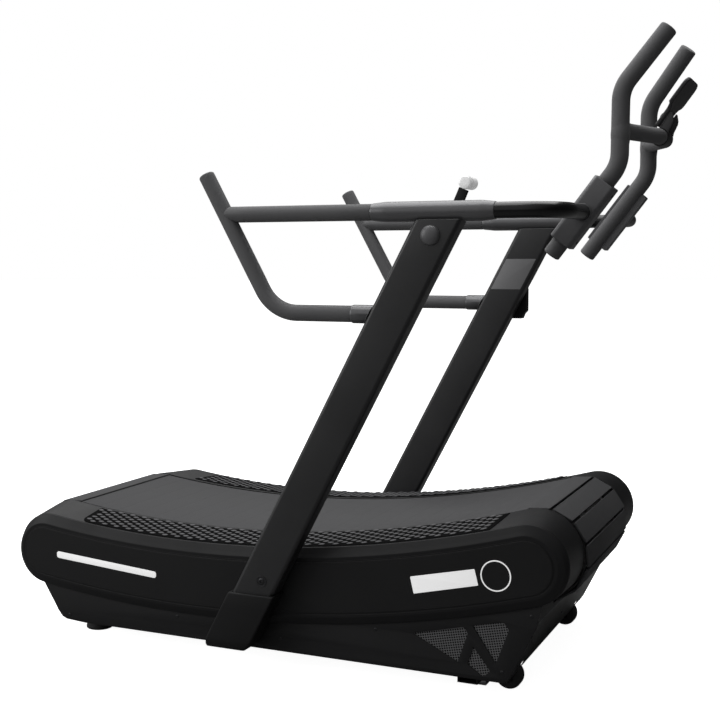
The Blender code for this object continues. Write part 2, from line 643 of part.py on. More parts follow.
def build_feet_and_wheel(side, tag):
    centre = (FOOT_X, side * FOOT_Y, 0)
    foot = turned(REAR_FOOT, centre, Z_AXIS, X_AXIS, "rear_foot_" + tag, M_RUBBER, count=18)
    set_origin(foot, centre)

    front_foot = box(0.498, 0.566, side * 0.2500, side * 0.2880, 0.0, 0.012,
                     "front_foot_" + tag, M_ZINC)
    weld(front_foot, box(0.5060, 0.5480, side * 0.2560, side * 0.2820, 0.011, 0.0296))

    half = [(WHEEL_HALF - WHEEL_CHAMFER, WHEEL_R), (WHEEL_HALF, WHEEL_R - WHEEL_CHAMFER),
            (WHEEL_HALF, WHEEL_BORE_R)]
    profile = [(-y, radius) for y, radius in half[::-1]] + half
    centre = (WHEEL_X, side * WHEEL_Y, WHEEL_Z)
    wheel = turned(profile, centre, Y_AXIS, Z_AXIS, "transport_wheel_" + tag, M_RUBBER,
                   count=20, closed=True)
    set_origin(wheel, centre)


# ------------------------------------------------------------------- uprights
UP_LEAN = radians(27.8)
UP_REF_X, UP_REF_Z = 0.218, 0.6   # a point on the axis
UP_Y = 0.4266
UP_W = 0.100
UP_D = 0.050
UP_CORNER = 0.010
UP_WALL = 0.003
UP_BOTTOM = 0.0830
UP_HOLLOW_TOP = 1.05
UP_TOP = 1.1225
UP_OUT_Y = UP_Y + UP_D / 2
UP_IN_Y = UP_Y - UP_D / 2
UP_DIR = Vector((sin(UP_LEAN), 0, cos(UP_LEAN)))
UP_NORMAL = Vector((cos(UP_LEAN), 0, -sin(UP_LEAN)))

BOOT_Z = 0.0560
BOOT_TOP = 0.2070
BOOT_IN_Y, BOOT_OUT_Y = 0.3990, 0.4600
BOOT_HOLE_X = 0.0572         # half the length of the opening
BOOT_CLEAR = 0.0006          # between the opening and the upright's sides
HOLE_IN_Y, HOLE_OUT_Y = UP_IN_Y - BOOT_CLEAR, UP_OUT_Y + BOOT_CLEAR
# half length in x, inner y, outer y, z
BOOT_RINGS = ((BOOT_HOLE_X, HOLE_IN_Y, 0.4350, BOOT_Z),
              (0.0580, BOOT_IN_Y, 0.4420, BOOT_Z),
              (0.0625, BOOT_IN_Y, 0.4500, BOOT_Z + 0.0040),
              (0.0640, BOOT_IN_Y, 0.4575, BOOT_Z + 0.0140),
              (0.0640, BOOT_IN_Y, BOOT_OUT_Y, BOOT_Z + 0.0280),
              (0.0640, BOOT_IN_Y, BOOT_OUT_Y, BOOT_TOP - 0.004),
              (0.0615, BOOT_IN_Y + 0.0015, BOOT_OUT_Y - 0.0025, BOOT_TOP),
              (BOOT_HOLE_X, HOLE_IN_Y, HOLE_OUT_Y, BOOT_TOP),
              (BOOT_HOLE_X, HOLE_IN_Y, HOLE_OUT_Y, BOOT_Z + 0.0275))
BEAM_CLEAR = 0.0010

# distance out from the upright, radius: bolt head with a blind socket
BOLT = [(0.0, 0.0090), (0.0030, 0.0090), (0.0050, 0.0070), (0.0050, 0.0035), (0.0030, 0.0035)]
BOLT_X, BOLT_Z = 0.0385, 0.242


def rounded_rect(width, height, radius, steps=4):
    x, y = width / 2 - radius, height / 2 - radius
    points = []
    for corner_x, corner_y, start in ((x, y, 0), (-x, y, 90), (-x, -y, 180), (x, -y, 270)):
        for i in range(steps + 1):
            angle = radians(start + 90 * i / steps)
            points.append((corner_x + radius * cos(angle), corner_y + radius * sin(angle)))
    return points


def upright_x(z):
    return UP_REF_X + (z - UP_REF_Z) * tan(UP_LEAN)


def upright_ring(y, z, inset):
    """Section of the leaning tube, drawn in by inset, where the level plane z cuts it."""
    ring = []
    for along, across in rounded_rect(UP_W - 2 * inset, UP_D - 2 * inset, UP_CORNER - inset):
        point = Vector((upright_x(z), 0, z)) + UP_NORMAL * along
        point += UP_DIR * ((z - point.z) / UP_DIR.z)
        ring.append(Vector((point.x, y + across, z)))
    return ring


def build_upright(side, tag):
    """Closed top, open foot: the inner skin stops short of the top."""
    y = side * UP_Y
    rings = [upright_ring(y, UP_HOLLOW_TOP, UP_WALL), upright_ring(y, UP_BOTTOM, UP_WALL),
             upright_ring(y, UP_BOTTOM, 0), upright_ring(y, UP_TOP, 0)]
    upright = loft(rings, "upright_" + tag, M_UPRIGHT, smooth=30)
    cut(upright, rod_y_free_rail(y))
    turned(BOLT, (BOLT_X, side * (UP_OUT_Y + GAP), BOLT_Z), side * Y_AXIS, Z_AXIS,
           "upright_bolt_" + tag, M_STEEL, count=20)


def rod_y_free_rail(y):
    """Tool that clears the rail sleeve, lying along X at the rail's height."""
    return rod((0.30, y, RAIL_Z), (0.70, y, RAIL_Z), SLEEVE_R + 0.0008, 20)


def build_boot(side, tag):
    """Boot round the foot of the upright, notched over the middle beam."""
    rings = []
    for half, y_in, y_out, z in BOOT_RINGS:
        x = upright_x(z)
        y0, y1 = side * y_in, side * y_out
        rings.append([Vector((x - half, y0, z)), Vector((x + half, y0, z)),
                      Vector((x + half, y1, z)), Vector((x - half, y1, z))])
    boot = loft(rings, "boot_" + tag, M_FRAME, closed=True)
    x0, x1, _, z0, z1 = MIDDLE_BEAM
    cut(boot, box(x0 - BEAM_CLEAR, x1 + BEAM_CLEAR, side * 0.390, side * 0.4030,
                  z0 - BEAM_CLEAR, z1 + BEAM_CLEAR))


# ------------------------------------------------------------------ hand rails
FOAM_R = 0.0195
POST_GRIP_R = FOAM_R + 0.0003
TUBE_R = 0.0185
FRONT_TUBE_X = 0.769
FRONT_TUBE_BEND = 0.085
LOW_RAIL_Z = 0.904
LOW_RAIL_END_X = 0.2740
COLLAR_R = 0.0222
POST_TIP = Vector((-0.121, 0, 1.239))
POST_DIR = Vector((0.486, 0, -0.874)).normalized()
POST_BEND = 0.105
POST_CORNER = POST_TIP + POST_DIR * ((POST_TIP.z - LOW_RAIL_Z) / -POST_DIR.z)
CLAMP_OUT_Y = 0.2235         # outer face of the handle clamps
# x, radius; closed profile
SLEEVE = [(0.3240, 0.0192), (0.3240, 0.0200), (0.3580, SLEEVE_R),
          (0.5910, SLEEVE_R), (0.6220, 0.0200), (0.6220, 0.0192)]


def rail_ring(side, height, radius, count, x_at):
    """Ring round a rail along X; x_at gives x from z, so an end can be cut to a slope."""
    return [Vector((x_at(height + b), side * UP_Y + a, height + b))
            for a, b in circle(count, radius)]


def post_face_x(z):
    """x just clear of the front of the post's padding."""
    post_x = POST_TIP.x + POST_DIR.x * (POST_TIP.z - z) / -POST_DIR.z
    return post_x + POST_GRIP_R / -POST_DIR.z + 0.0006


def upright_face_x(z):
    """x just clear of the rear of the upright."""
    return upright_x(z) - UP_W / 2 / cos(UP_LEAN) - GAP


def build_rails(side, tag):
    shift = Vector((0, side * UP_Y, 0))
    # rear post and lower rail, one padded bar
    points = [POST_TIP + shift, POST_CORNER + shift,
              Vector((LOW_RAIL_END_X, 0, LOW_RAIL_Z)) + shift]
    tube(fillet_path(points, [POST_BEND]), POST_GRIP_R, "post_grip_" + tag, M_FOAM,
         soft=(0.006, 0.0))
    # collar from the padded bar to the upright, its end cut to the lean
    loft([rail_ring(side, LOW_RAIL_Z, COLLAR_R - 0.001, 20, lambda z: 0.2745),
          rail_ring(side, LOW_RAIL_Z, COLLAR_R, 20, lambda z: 0.2785),
          rail_ring(side, LOW_RAIL_Z, COLLAR_R, 20, upright_face_x)],
         "lower_collar_" + tag, M_SATIN, smooth=30)
    # upper rail padding, its rear end cut to the post
    loft([rail_ring(side, RAIL_Z, FOAM_R, 16, post_face_x),
          rail_ring(side, RAIL_Z, FOAM_R, 16, lambda z: 0.3235)],
         "rail_grip_" + tag, M_FOAM, smooth=30)
    # sleeve on top of the upright
    turned(SLEEVE, (0, side * UP_Y, RAIL_Z), X_AXIS, Z_AXIS, "rail_sleeve_" + tag, M_SATIN,
           count=20, closed=True)
    # bare tube from the sleeve round to the handle clamp
    points = [(0.3300, side * UP_Y, RAIL_Z), (FRONT_TUBE_X, side * UP_Y, RAIL_Z),
              (FRONT_TUBE_X, side * (CLAMP_OUT_Y + GAP), RAIL_Z)]
    tube(fillet_path(points, [FRONT_TUBE_BEND], step=11), TUBE_R, "front_tube_" + tag,
         M_GLOSS, count=14)


# --------------------------------------------------- front handles and cross bar
# corners of a handle, from the bottom: x, distance from the middle, z
HANDLE_POINTS = ((0.687, 0.1885, 1.042), (0.8465, 0.1885, 1.2515),
                 (0.8465, 0.183, 1.4265), (0.9485, 0.154, 1.5635))
HANDLE_BENDS = [0.080, 0.085]
HANDLE_FOOT = Vector((HANDLE_POINTS[0][0], 0, HANDLE_POINTS[0][2]))
HANDLE_BEND = Vector((HANDLE_POINTS[1][0], 0, HANDLE_POINTS[1][2]))
HANDLE_DIR = (HANDLE_BEND - HANDLE_FOOT).normalized()
HANDLE_NORMAL = Vector((HANDLE_DIR.z, 0, -HANDLE_DIR.x))
HANDLE_Y = HANDLE_POINTS[0][1]

CLAMP_IN_Y = 0.1800
CLAMP_CHAMFER_Y = CLAMP_OUT_Y - 0.008
CLAMP_NOTCH_R = HANDLE_R + 0.0010
CLAMP_EDGE = 0.0225          # points further than this from the axis taper at the ends
# distance along the handle, scale of the clamp's edges
CLAMP_STATIONS = ((0.0415, 0.96), (0.0430, 1.0), (0.2130, 1.0), (0.2145, 0.96))

BAR_R = 0.019
BAR_X = 0.911
BAR_Z = 1.327
BAR_HALF = 0.055             # half the straight middle, corner to corner
BAR_BEND = 0.045
BAR_END_Z = BAR_Z + 0.003


def build_handle(side, tag):
    points = [(x, side * y, z) for x, y, z in HANDLE_POINTS]
    tube(fillet_path(points, HANDLE_BENDS, step=9), HANDLE_R, "handle_" + tag, M_FOAM,
         count=14, soft=(0.005, 0.005))


def build_clamp(side, tag):
    """A channel that takes the outer half of the handle."""
    # distance from the axis, distance from the middle of the machine
    profile = [(-0.0262, CLAMP_IN_Y), (-0.0262, CLAMP_CHAMFER_Y), (-0.0182, CLAMP_OUT_Y),
               (0.0255, CLAMP_OUT_Y), (0.0335, CLAMP_CHAMFER_Y), (0.0335, CLAMP_IN_Y)]
    start = asin((HANDLE_Y - CLAMP_IN_Y) / CLAMP_NOTCH_R)
    for i in range(11):
        angle = -start + (pi + 2 * start) * i / 10
        profile.append((CLAMP_NOTCH_R * cos(angle), HANDLE_Y + CLAMP_NOTCH_R * sin(angle)))
    rings = []
    for along, scale in CLAMP_STATIONS:
        centre = HANDLE_FOOT + HANDLE_DIR * along
        ring = []
        for across, y in profile:
            if abs(across) > CLAMP_EDGE:
                across = across * scale
            ring.append(centre + HANDLE_NORMAL * across + Vector((0, side * y, 0)))
        rings.append(ring)
    loft(rings, "handle_clamp_" + tag, M_SATIN)


def build_cross_bar():
    """Bar between the handles, bowed forwards; its ends stop at their faces."""
    (_, _, _), (x, y_low, z_low), (_, y_high, z_high), _ = HANDLE_POINTS
    handle_y = y_low + (y_high - y_low) * (BAR_END_Z - z_low) / (z_high - z_low)
    ends, corners = [], []
    for side, _ in SIDES:
        on_handle = Vector((x, side * handle_y, BAR_END_Z))
        corner = Vector((BAR_X, side * BAR_HALF, BAR_Z))
        ends.append(on_handle + (corner - on_handle).normalized() * (HANDLE_R + 0.0012))
        corners.append(corner)
    path = fillet_path([ends[0], corners[0], corners[1], ends[1]], [BAR_BEND, BAR_BEND], step=9)
    tube(path, BAR_R, "cross_bar", M_FOAM, count=14)


# ----------------------------------------------------- resistance lever and hook
LEVER_PIVOT = Vector((0.480, 0, 1.086))
KNOB_CENTRE = Vector((0.532, 0, 1.208))
KNOB_R = 0.0135
# distance out from the upright, radius
PIVOT_CAP = [(0.0, 0.0215), (0.0015, 0.0215), (0.0056, 0.0184),
             (0.0088, 0.0122), (0.0102, 0.0045)]
# y from the knob's middle, radius
KNOB = [(-0.0290, 0.0110), (-0.0260, KNOB_R), (0.0260, KNOB_R), (0.0290, 0.0110)]
# x, z
HOOK = [(0.395, 0.857), (0.435, 0.857), (0.440, 0.870), (0.449, 0.880),
        (0.449, 0.946), (0.440, 0.953), (0.405, 0.950)]


def build_lever():
    turned(PIVOT_CAP, (LEVER_PIVOT.x, -(UP_OUT_Y + GAP), LEVER_PIVOT.z), -Y_AXIS, Z_AXIS,
           "pivot_cap", M_COVER)
    reach = KNOB_CENTRE - LEVER_PIVOT
    along = reach.normalized()
    across = Vector((along.z, 0, -along.x))
    end = reach.length - KNOB_R - 0.0010
    corners = [LEVER_PIVOT + along * distance + across * width for distance, width in
               ((-0.010, -0.0100), (end, -0.0085), (end, 0.0085), (-0.010, 0.0100))]
    arm = prism([(corner.x, corner.z) for corner in corners], -0.3680, -0.3600, "lever_arm")
    weld(arm, rod_y(LEVER_PIVOT.x, LEVER_PIVOT.z, -0.4011, -0.3590, 0.0170, 24))
    set_origin(arm, (LEVER_PIVOT.x, -0.380, LEVER_PIVOT.z))
    turned(KNOB, (KNOB_CENTRE.x, -0.3510, KNOB_CENTRE.z), Y_AXIS, Z_AXIS, "lever_knob", M_KNOB)


def build_hook():
    """Small hook box on the outside of the left upright."""
    prism(HOOK, UP_OUT_Y + GAP, UP_OUT_Y + 0.030, "accessory_hook")


# --------------------------------------------------------------------- console
CONSOLE_BASE = Vector((0.900, 0, 1.360))
CONSOLE_UP = Vector((0.594, 0, 0.805)).normalized()      # up the console's face
CONSOLE_IN = Vector((0.805, 0, -0.594)).normalized()     # into it, away from the user
CONSOLE_ORIGIN = (BAR_X, 0, BAR_Z)
# up the face, depth
HOUSING = [(-0.0030, 0.0125), (0.0490, 0.0125), (0.0480, 0.0175), (0.0360, 0.0300),
           (0.0280, 0.0345), (0.0040, 0.0395), (-0.0120, 0.0470), (-0.0200, 0.0470),
           (-0.0180, 0.0300)]
# up the face, half width
PANEL = [(-0.0030, 0.043), (0.0450, 0.043), (0.0540, 0.052), (0.0600, 0.068), (0.0690, 0.075),
         (0.1110, 0.075), (0.1220, 0.071), (0.1290, 0.060), (0.1310, 0.048)]
# depth, scale of the width
PANEL_LAYERS = ((0.0018, 0.985), (0.0040, 1.0), (0.0121, 1.0))
# depth, bottom edge, top edge, half width
SCREEN_LAYERS = ((-0.0002, 0.060, 0.118, 0.062), (0.0014, 0.059, 0.119, 0.063))
# depth, radius
BUTTON = [(-0.0016, 0.0050), (-0.0008, 0.0064), (0.0055, 0.0064)]
BUTTON_HOLE_R = 0.0073
BUTTON_UP = 0.024
BUTTON_YS = (-0.026, 0.0, 0.026)


def on_console(up, depth, y):
    point = CONSOLE_BASE + CONSOLE_UP * up + CONSOLE_IN * depth
    return Vector((point.x, y, point.z))


def build_housing():
    """Housing with a round clip that holds the cross bar."""
    rings = [[on_console(up, depth, y) for up, depth in HOUSING] for y in (-0.040, 0.040)]
    housing = loft(rings, "console_housing", M_CONSOLE)
    weld(housing, rod_y(BAR_X, BAR_Z, -0.0398, 0.0398, 0.0218, 20))
    cut(housing, rod_y(BAR_X, BAR_Z, -0.060, 0.060, BAR_R + 0.0008, 20))
    set_origin(housing, CONSOLE_ORIGIN)


def build_panel():
    outline = PANEL + [(up, -y) for up, y in PANEL[::-1]]
    rings = [[on_console(up, depth, y * scale) for up, y in outline]
             for depth, scale in PANEL_LAYERS]
    panel = loft(rings, "console_panel", M_CONSOLE)
    for y in BUTTON_YS:
        cut(panel, rod(on_console(BUTTON_UP, -0.010, y), on_console(BUTTON_UP, 0.0085, y),
                       BUTTON_HOLE_R, 14))
    set_origin(panel, CONSOLE_ORIGIN)


def build_screen():
    rings = [[on_console(up, depth, y) for up, y in
              ((low, -half), (high, -half), (high, half), (low, half))]
             for depth, low, high, half in SCREEN_LAYERS]
    set_origin(loft(rings, "console_screen", M_SCREEN), CONSOLE_ORIGIN)


def build_buttons():
    for i, y in enumerate(BUTTON_YS, start=1):
        centre = on_console(BUTTON_UP, 0.0, y)
        button = turned(BUTTON, centre, CONSOLE_IN, Y_AXIS, f"console_button_{i}", M_BUTTON,
                        count=14)
        set_origin(button, centre)


# -------------------------------------------------------------------- assembly
build_belt()
build_drum("front_drum", DRUM_X, FRONT_Z, -0.272, 0.262)
build_drum("rear_drum", -DRUM_X, REAR_Z, -0.262, 0.262)
build_brake_disc()
build_magnet_bracket()
build_base_frame()
build_end_panels()
for build in (build_belt_guide, build_cover, build_tread, build_skirt, build_feet_and_wheel,
              build_upright, build_boot, build_rails, build_handle, build_clamp):
    for sign, suffix in SIDES:
        build(sign, suffix)
build_cross_bar()
build_lever()
build_hook()
build_housing()
build_panel()
build_screen()
build_buttons()

for item in bpy.data.objects:
    item.location = item.location - ORIGIN
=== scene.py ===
"""Curved manual treadmill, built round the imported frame.

Metres, +Z up, +X front (handle end), -Y the user's right side.  Shapes are drawn from
a station midway between the end caps of the base; OFFSET moves them to the frame's
own origin.  Right and left pieces share one function, with side = -1 or +1.
"""
import bpy
import bmesh
import numpy as np
from math import sin, cos, tan, asin, pi, sqrt, radians, ceil, copysign
from mathutils import Vector, Matrix


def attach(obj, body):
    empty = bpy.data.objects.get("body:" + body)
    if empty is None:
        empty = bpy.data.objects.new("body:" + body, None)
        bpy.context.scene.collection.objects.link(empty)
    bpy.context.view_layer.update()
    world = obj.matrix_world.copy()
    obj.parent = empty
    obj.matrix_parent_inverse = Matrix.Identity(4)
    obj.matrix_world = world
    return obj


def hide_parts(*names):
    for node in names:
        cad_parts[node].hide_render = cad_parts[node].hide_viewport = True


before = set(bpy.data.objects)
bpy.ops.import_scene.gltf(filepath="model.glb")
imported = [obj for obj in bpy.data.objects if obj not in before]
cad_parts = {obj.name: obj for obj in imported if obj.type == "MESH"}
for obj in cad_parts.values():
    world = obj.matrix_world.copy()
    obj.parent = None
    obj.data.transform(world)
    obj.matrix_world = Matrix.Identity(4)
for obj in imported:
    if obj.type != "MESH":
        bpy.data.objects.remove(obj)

SCENE = bpy.context.scene
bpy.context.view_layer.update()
OFFSET = Vector((-0.09404, -0.0097, 0.0))
SIDES = ((-1, "right"), (1, "left"))

# ---------------------------------------------------------------- shared sizes
# Curved centreline: an arc about (ARC_X, ARC_Z) that runs between the drum axes.
ARC_X, ARC_LOW, ARC_R = -0.2126, 0.197, 3.268
ARC_Z = ARC_LOW + ARC_R
DRUM_X = 0.684
FRONT_A = asin((DRUM_X - ARC_X) / ARC_R)
REAR_A = asin((DRUM_X + ARC_X) / ARC_R)
SWEEP = FRONT_A + REAR_A
FRONT_Z = ARC_Z - ARC_R * cos(FRONT_A)
REAR_Z = ARC_Z - ARC_R * cos(REAR_A)

# The camera stands at (EYE_X, -EYE_Y, EYE_Z); covers and skirts shrink towards its
# x and z as they are moved outwards.
EYE_X, EYE_Y, EYE_Z = 1.406, 2.993, 1.029
SKIRT_SHRINK = 0.99051
SKIRT_Y, SKIRT_T = 0.3845, 0.003        # outer face, thickness
SKIRT_IN_Y = 0.3806                     # half width of the sheets between the skirts

# Uprights: leaning rectangular tubes, placed by their axis at UPRIGHT_REF_Z.
LEAN, UPRIGHT_X, UPRIGHT_REF_Z, UPRIGHT_Y = radians(27.8), 0.218, 0.6, 0.4266
UPRIGHT_W, UPRIGHT_D = 0.100, 0.050     # fore and aft, across
UPRIGHT_BOTTOM, UPRIGHT_TOP = 0.0830, 1.1225
UPRIGHT_OUT_Y = UPRIGHT_Y + UPRIGHT_D / 2

RAIL_Z, LOW_RAIL_Z, FOAM_R, SLEEVE_R = 1.141, 0.904, 0.0195, 0.0235
POST_FOAM_R = FOAM_R + 0.0003
BAR_X, BAR_Z = 0.911, 1.327             # middle of the cross bar


# ------------------------------------------------------------------- materials
class Graph:
    """Adds nodes to a tree; a node input takes a value or the socket that feeds it."""

    def __init__(self, tree):
        self.tree = tree

    def feed(self, node, inputs):
        for key, value in inputs.items():
            if isinstance(value, bpy.types.NodeSocket):
                self.tree.links.new(value, node.inputs[key])
            else:
                node.inputs[key].default_value = value

    def node(self, kind, inputs=None, **settings):
        node = self.tree.nodes.new(kind)
        for key, value in settings.items():
            setattr(node, key, value)
        self.feed(node, inputs or {})
        return node

    def noise(self, vector, scale, detail=2.0, rough=0.5):
        return self.node("ShaderNodeTexNoise", {
            "Vector": vector, "Scale": scale, "Detail": detail, "Roughness": rough}).outputs["Fac"]

    def math(self, operation, first, second):
        return self.node("ShaderNodeMath", {0: first, 1: second}, operation=operation).outputs[0]

    def span(self, value, low, high, start=0.0, end=1.0, **settings):
        """Map start..end to low..high."""
        return self.node("ShaderNodeMapRange", {
            "Value": value, "From Min": start, "From Max": end,
            "To Min": low, "To Max": high}, **settings).outputs["Result"]

    def mix(self, factor, low, high):
        return self.node("ShaderNodeMix", {0: factor, 6: (*low, 1), 7: (*high, 1)},
                         data_type="RGBA").outputs[2]

    def bump(self, height, distance, strength=1.0, normal=None):
        inputs = {"Strength": strength, "Distance": distance, "Height": height}
        if normal is not None:
            inputs["Normal"] = normal
        return self.node("ShaderNodeBump", inputs).outputs["Normal"]


def new_material(name):
    """Empty material with its graph and its shader node."""
    mat = bpy.data.materials.new(name)
    mat.use_nodes = True
    return mat, Graph(mat.node_tree), mat.node_tree.nodes["Principled BSDF"]


def material(name, rgb, rough, metal=0.0, tone_var=0.12, patch_scale=5.0, grain=1100.0,
             grain_depth=0.00006, pore_depth=0.0, pore_scale=700.0, rough_var=0.08, spec=0.5,
             coat=0.0, sheen=0.0, brushed=None, painted_glow=0.0):
    """Solid finish with patchy tone and gloss, fine grain, optional pores or brushing, and optional
    painted light by emission.
    """
    mat, graph, shader = new_material(name)
    place_at = graph.node("ShaderNodeTexCoord").outputs["Object"]
    broad = graph.noise(place_at, patch_scale, detail=4.0, rough=0.55)
    fine = graph.noise(place_at, grain * 0.25, rough=0.6)
    mixed = graph.math("ADD", graph.math("MULTIPLY", broad, 0.7), graph.math("MULTIPLY", fine, 0.3))
    dark = tuple(c * (1 - tone_var) for c in rgb)
    light = tuple(c * (1 + tone_var) for c in rgb)
    normal = graph.bump(graph.noise(place_at, grain, detail=3.0, rough=0.6), grain_depth)
    if pore_depth:
        cells = graph.node("ShaderNodeTexVoronoi", {"Vector": place_at, "Scale": pore_scale})
        pores = graph.span(cells.outputs["Distance"], 0, 1, start=0.0, end=0.6)
        normal = graph.bump(pores, pore_depth, normal=normal)
    if brushed:
        drawn = graph.node("ShaderNodeMapping", {"Vector": place_at, "Scale": brushed})
        streaks = graph.noise(drawn.outputs["Vector"], 1.0)
        normal = graph.bump(streaks, grain_depth, normal=normal)
    graph.feed(shader, {
        "Base Color": graph.mix(graph.span(mixed, 0, 1, start=0.3, end=0.7), dark, light),
        "Roughness": graph.span(mixed, max(rough - rough_var, 0.03), min(rough + rough_var, 1.0),
                                start=0.3, end=0.7),
        "Metallic": metal, "Specular IOR Level": spec, "Normal": normal})
    if coat:
        graph.feed(shader, {"Coat Weight": coat, "Coat Roughness": 0.08})
    if sheen:
        graph.feed(shader, {"Sheen Weight": sheen, "Sheen Roughness": 0.5})
    if painted_glow:
        # painted light: emission makes the bright film and the polished knob lighter than the lamps
        # light them
        graph.feed(shader, {"Emission Color": (1.0, 1.0, 1.0, 1.0), "Emission Strength": painted_glow})
    return mat


def paint_shade_and_highlight(mat, tone, gloss):
    """Painted shade and highlight: the base colour is scaled darker between raised lozenges and
    lighter on their tops, and the gloss is duller in the gaps; ranges are (gap, top).
    """
    graph = Graph(mat.node_tree)
    shader = mat.node_tree.nodes["Principled BSDF"]
    height = graph.node("ShaderNodeAttribute", attribute_name="relief").outputs["Fac"]
    # painted shade and highlight, as a scale of the base colour by relief height
    painted_shade_scale = graph.span(height, *tone, start=0.30, end=0.85)
    scaled = graph.node("ShaderNodeVectorMath", {
        0: shader.inputs["Base Color"].links[0].from_socket, "Scale": painted_shade_scale},
        operation='SCALE')
    graph.feed(shader, {"Base Color": scaled.outputs[0],
                        "Specular IOR Level": graph.span(height, *gloss, start=0.30, end=0.85)})


def screen_material():
    mat, graph, shader = new_material("display_window")
    place_at = graph.node("ShaderNodeTexCoord").outputs["Object"]
    graph.feed(shader, {
        "Base Color": graph.mix(graph.noise(place_at, 60.0),
                                (0.008, 0.010, 0.011), (0.014, 0.016, 0.018)),
        "Roughness": graph.span(graph.noise(place_at, 14.0, detail=3.0), 0.05, 0.13),
        "Coat Weight": 0.8, "Coat Roughness": 0.03,
        "Normal": graph.bump(graph.noise(place_at, 9.0, detail=1.0), 0.00005, strength=0.4)})
    return mat


FRAME_PAINT = material("powder_coat_black", rgb=(0.0070, 0.0070, 0.0075), rough=0.55,
                       grain=900, grain_depth=0.00010, spec=0.24)
UPRIGHT_PAINT = material("satin_paint_black", rgb=(0.0150, 0.0150, 0.0160), rough=0.42, grain=700)
COVER_PLASTIC = material("moulded_plastic_black", rgb=(0.0070, 0.0070, 0.0076), rough=0.48,
                         grain=1500, grain_depth=0.00007, spec=0.24)
PLATE_PLASTIC = material("side_plate_black", rgb=(0.0078, 0.0078, 0.0083), rough=0.55,
                         grain=1700, spec=0.26)
SKIRT_METAL = material("sheet_metal_black", rgb=(0.0085, 0.0085, 0.0092), rough=0.52,
                       grain=1000, grain_depth=0.00008, spec=0.28)
TREAD_RUBBER = material("tread_rubber_black", rgb=(0.026, 0.026, 0.0272), rough=0.66,
                        tone_var=0.18, grain=1600, grain_depth=0.00008, spec=0.32)
# painted shade in the gaps between lozenges, painted highlight on their tops
paint_shade_and_highlight(TREAD_RUBBER, tone=(0.14, 2.8), gloss=(0.01, 0.50))
SLAT_RUBBER = material("slat_rubber_dark", rgb=(0.044, 0.044, 0.046), rough=0.72,
                       tone_var=0.03, patch_scale=4, grain=1300, grain_depth=0.00009,
                       pore_depth=0.00004, pore_scale=1500, spec=0.35, rough_var=0.015)
CARRIER_RUBBER = material("carrier_belt_rubber", rgb=(0.018, 0.018, 0.018), rough=0.7,
                          grain=900, grain_depth=0.0001)
ALLOY = material("turned_alloy", rgb=(0.55, 0.55, 0.56), rough=0.34, metal=1.0, tone_var=0.08,
                 grain=500, grain_depth=0.00003, brushed=(60, 2400, 60))
STEEL = material("turned_steel_bright", rgb=(0.50, 0.50, 0.51), rough=0.30, metal=1.0,
                 tone_var=0.1, grain=500, grain_depth=0.00003, brushed=(90, 2600, 90))
BOLT_STEEL = material("black_oxide_steel", rgb=(0.030, 0.030, 0.032), rough=0.38, metal=0.6,
                      tone_var=0.15, grain=900, grain_depth=0.00005)
ZINC = material("zinc_plated_steel", rgb=(0.32, 0.32, 0.33), rough=0.42, metal=0.9,
                tone_var=0.14, patch_scale=30, grain=500)
FOAM = material("foam_grip_dark", rgb=(0.112, 0.112, 0.115), rough=0.86, tone_var=0.07,
                patch_scale=9, grain=1500, grain_depth=0.00022, pore_depth=0.00012,
                pore_scale=900, spec=0.35, sheen=0.10, rough_var=0.04)
SATIN_PAINT = material("satin_paint_grey", rgb=(0.115, 0.115, 0.119), rough=0.36, metal=0.35,
                       tone_var=0.07, grain=900, grain_depth=0.00004, spec=0.6)
CLAMP_PAINT = material("clamp_paint_grey", rgb=(0.100, 0.100, 0.104), rough=0.42, metal=0.2,
                       tone_var=0.08, grain=800, grain_depth=0.00008, spec=0.55)
GLOSS_PAINT = material("gloss_paint_black", rgb=(0.0040, 0.0040, 0.0045), rough=0.24,
                       tone_var=0.1, grain=300, grain_depth=0.00002, spec=0.35, coat=0.15,
                       rough_var=0.04)
# painted light: the emission of this finish makes the knob lighter than the lamps light it
KNOB_METAL = material("polished_knob", rgb=(0.95, 0.95, 0.95), rough=0.24, metal=0.08,
                      tone_var=0.02, grain=400, grain_depth=0.00002, brushed=(40, 3000, 40),
                      spec=0.8, painted_glow=0.22)
FOOT_RUBBER = material("foot_rubber_black", rgb=(0.022, 0.022, 0.022), rough=0.75,
                       grain=1200, grain_depth=0.00012)
MESH_METAL = material("perforated_sheet_grey", rgb=(0.150, 0.150, 0.154), rough=0.45, metal=0.2,
                      tone_var=0.1, grain=900, grain_depth=0.00005)
FRONT_METAL = material("front_sheet_black", rgb=(0.0300, 0.0300, 0.0312), rough=0.42,
                       grain=1000, grain_depth=0.00008, spec=0.6)
# painted shade: black sheet that stands for the shade inside the base behind the vents
PAINTED_SHADE_SHEET = material("painted_shade_sheet_black", rgb=(0.004, 0.004, 0.004), rough=0.9,
                      grain=900, grain_depth=0.0001, spec=0.1)
CONSOLE_PLASTIC = material("console_plastic", rgb=(0.022, 0.022, 0.023), rough=0.48,
                           grain=1500, grain_depth=0.00008)
CHEEK_PLASTIC = material("console_side_plastic", rgb=(0.050, 0.050, 0.052), rough=0.45,
                         grain=1500, grain_depth=0.00008)
KEY_RUBBER = material("key_rubber", rgb=(0.12, 0.12, 0.12), rough=0.68,
                      grain=1400, grain_depth=0.00008)
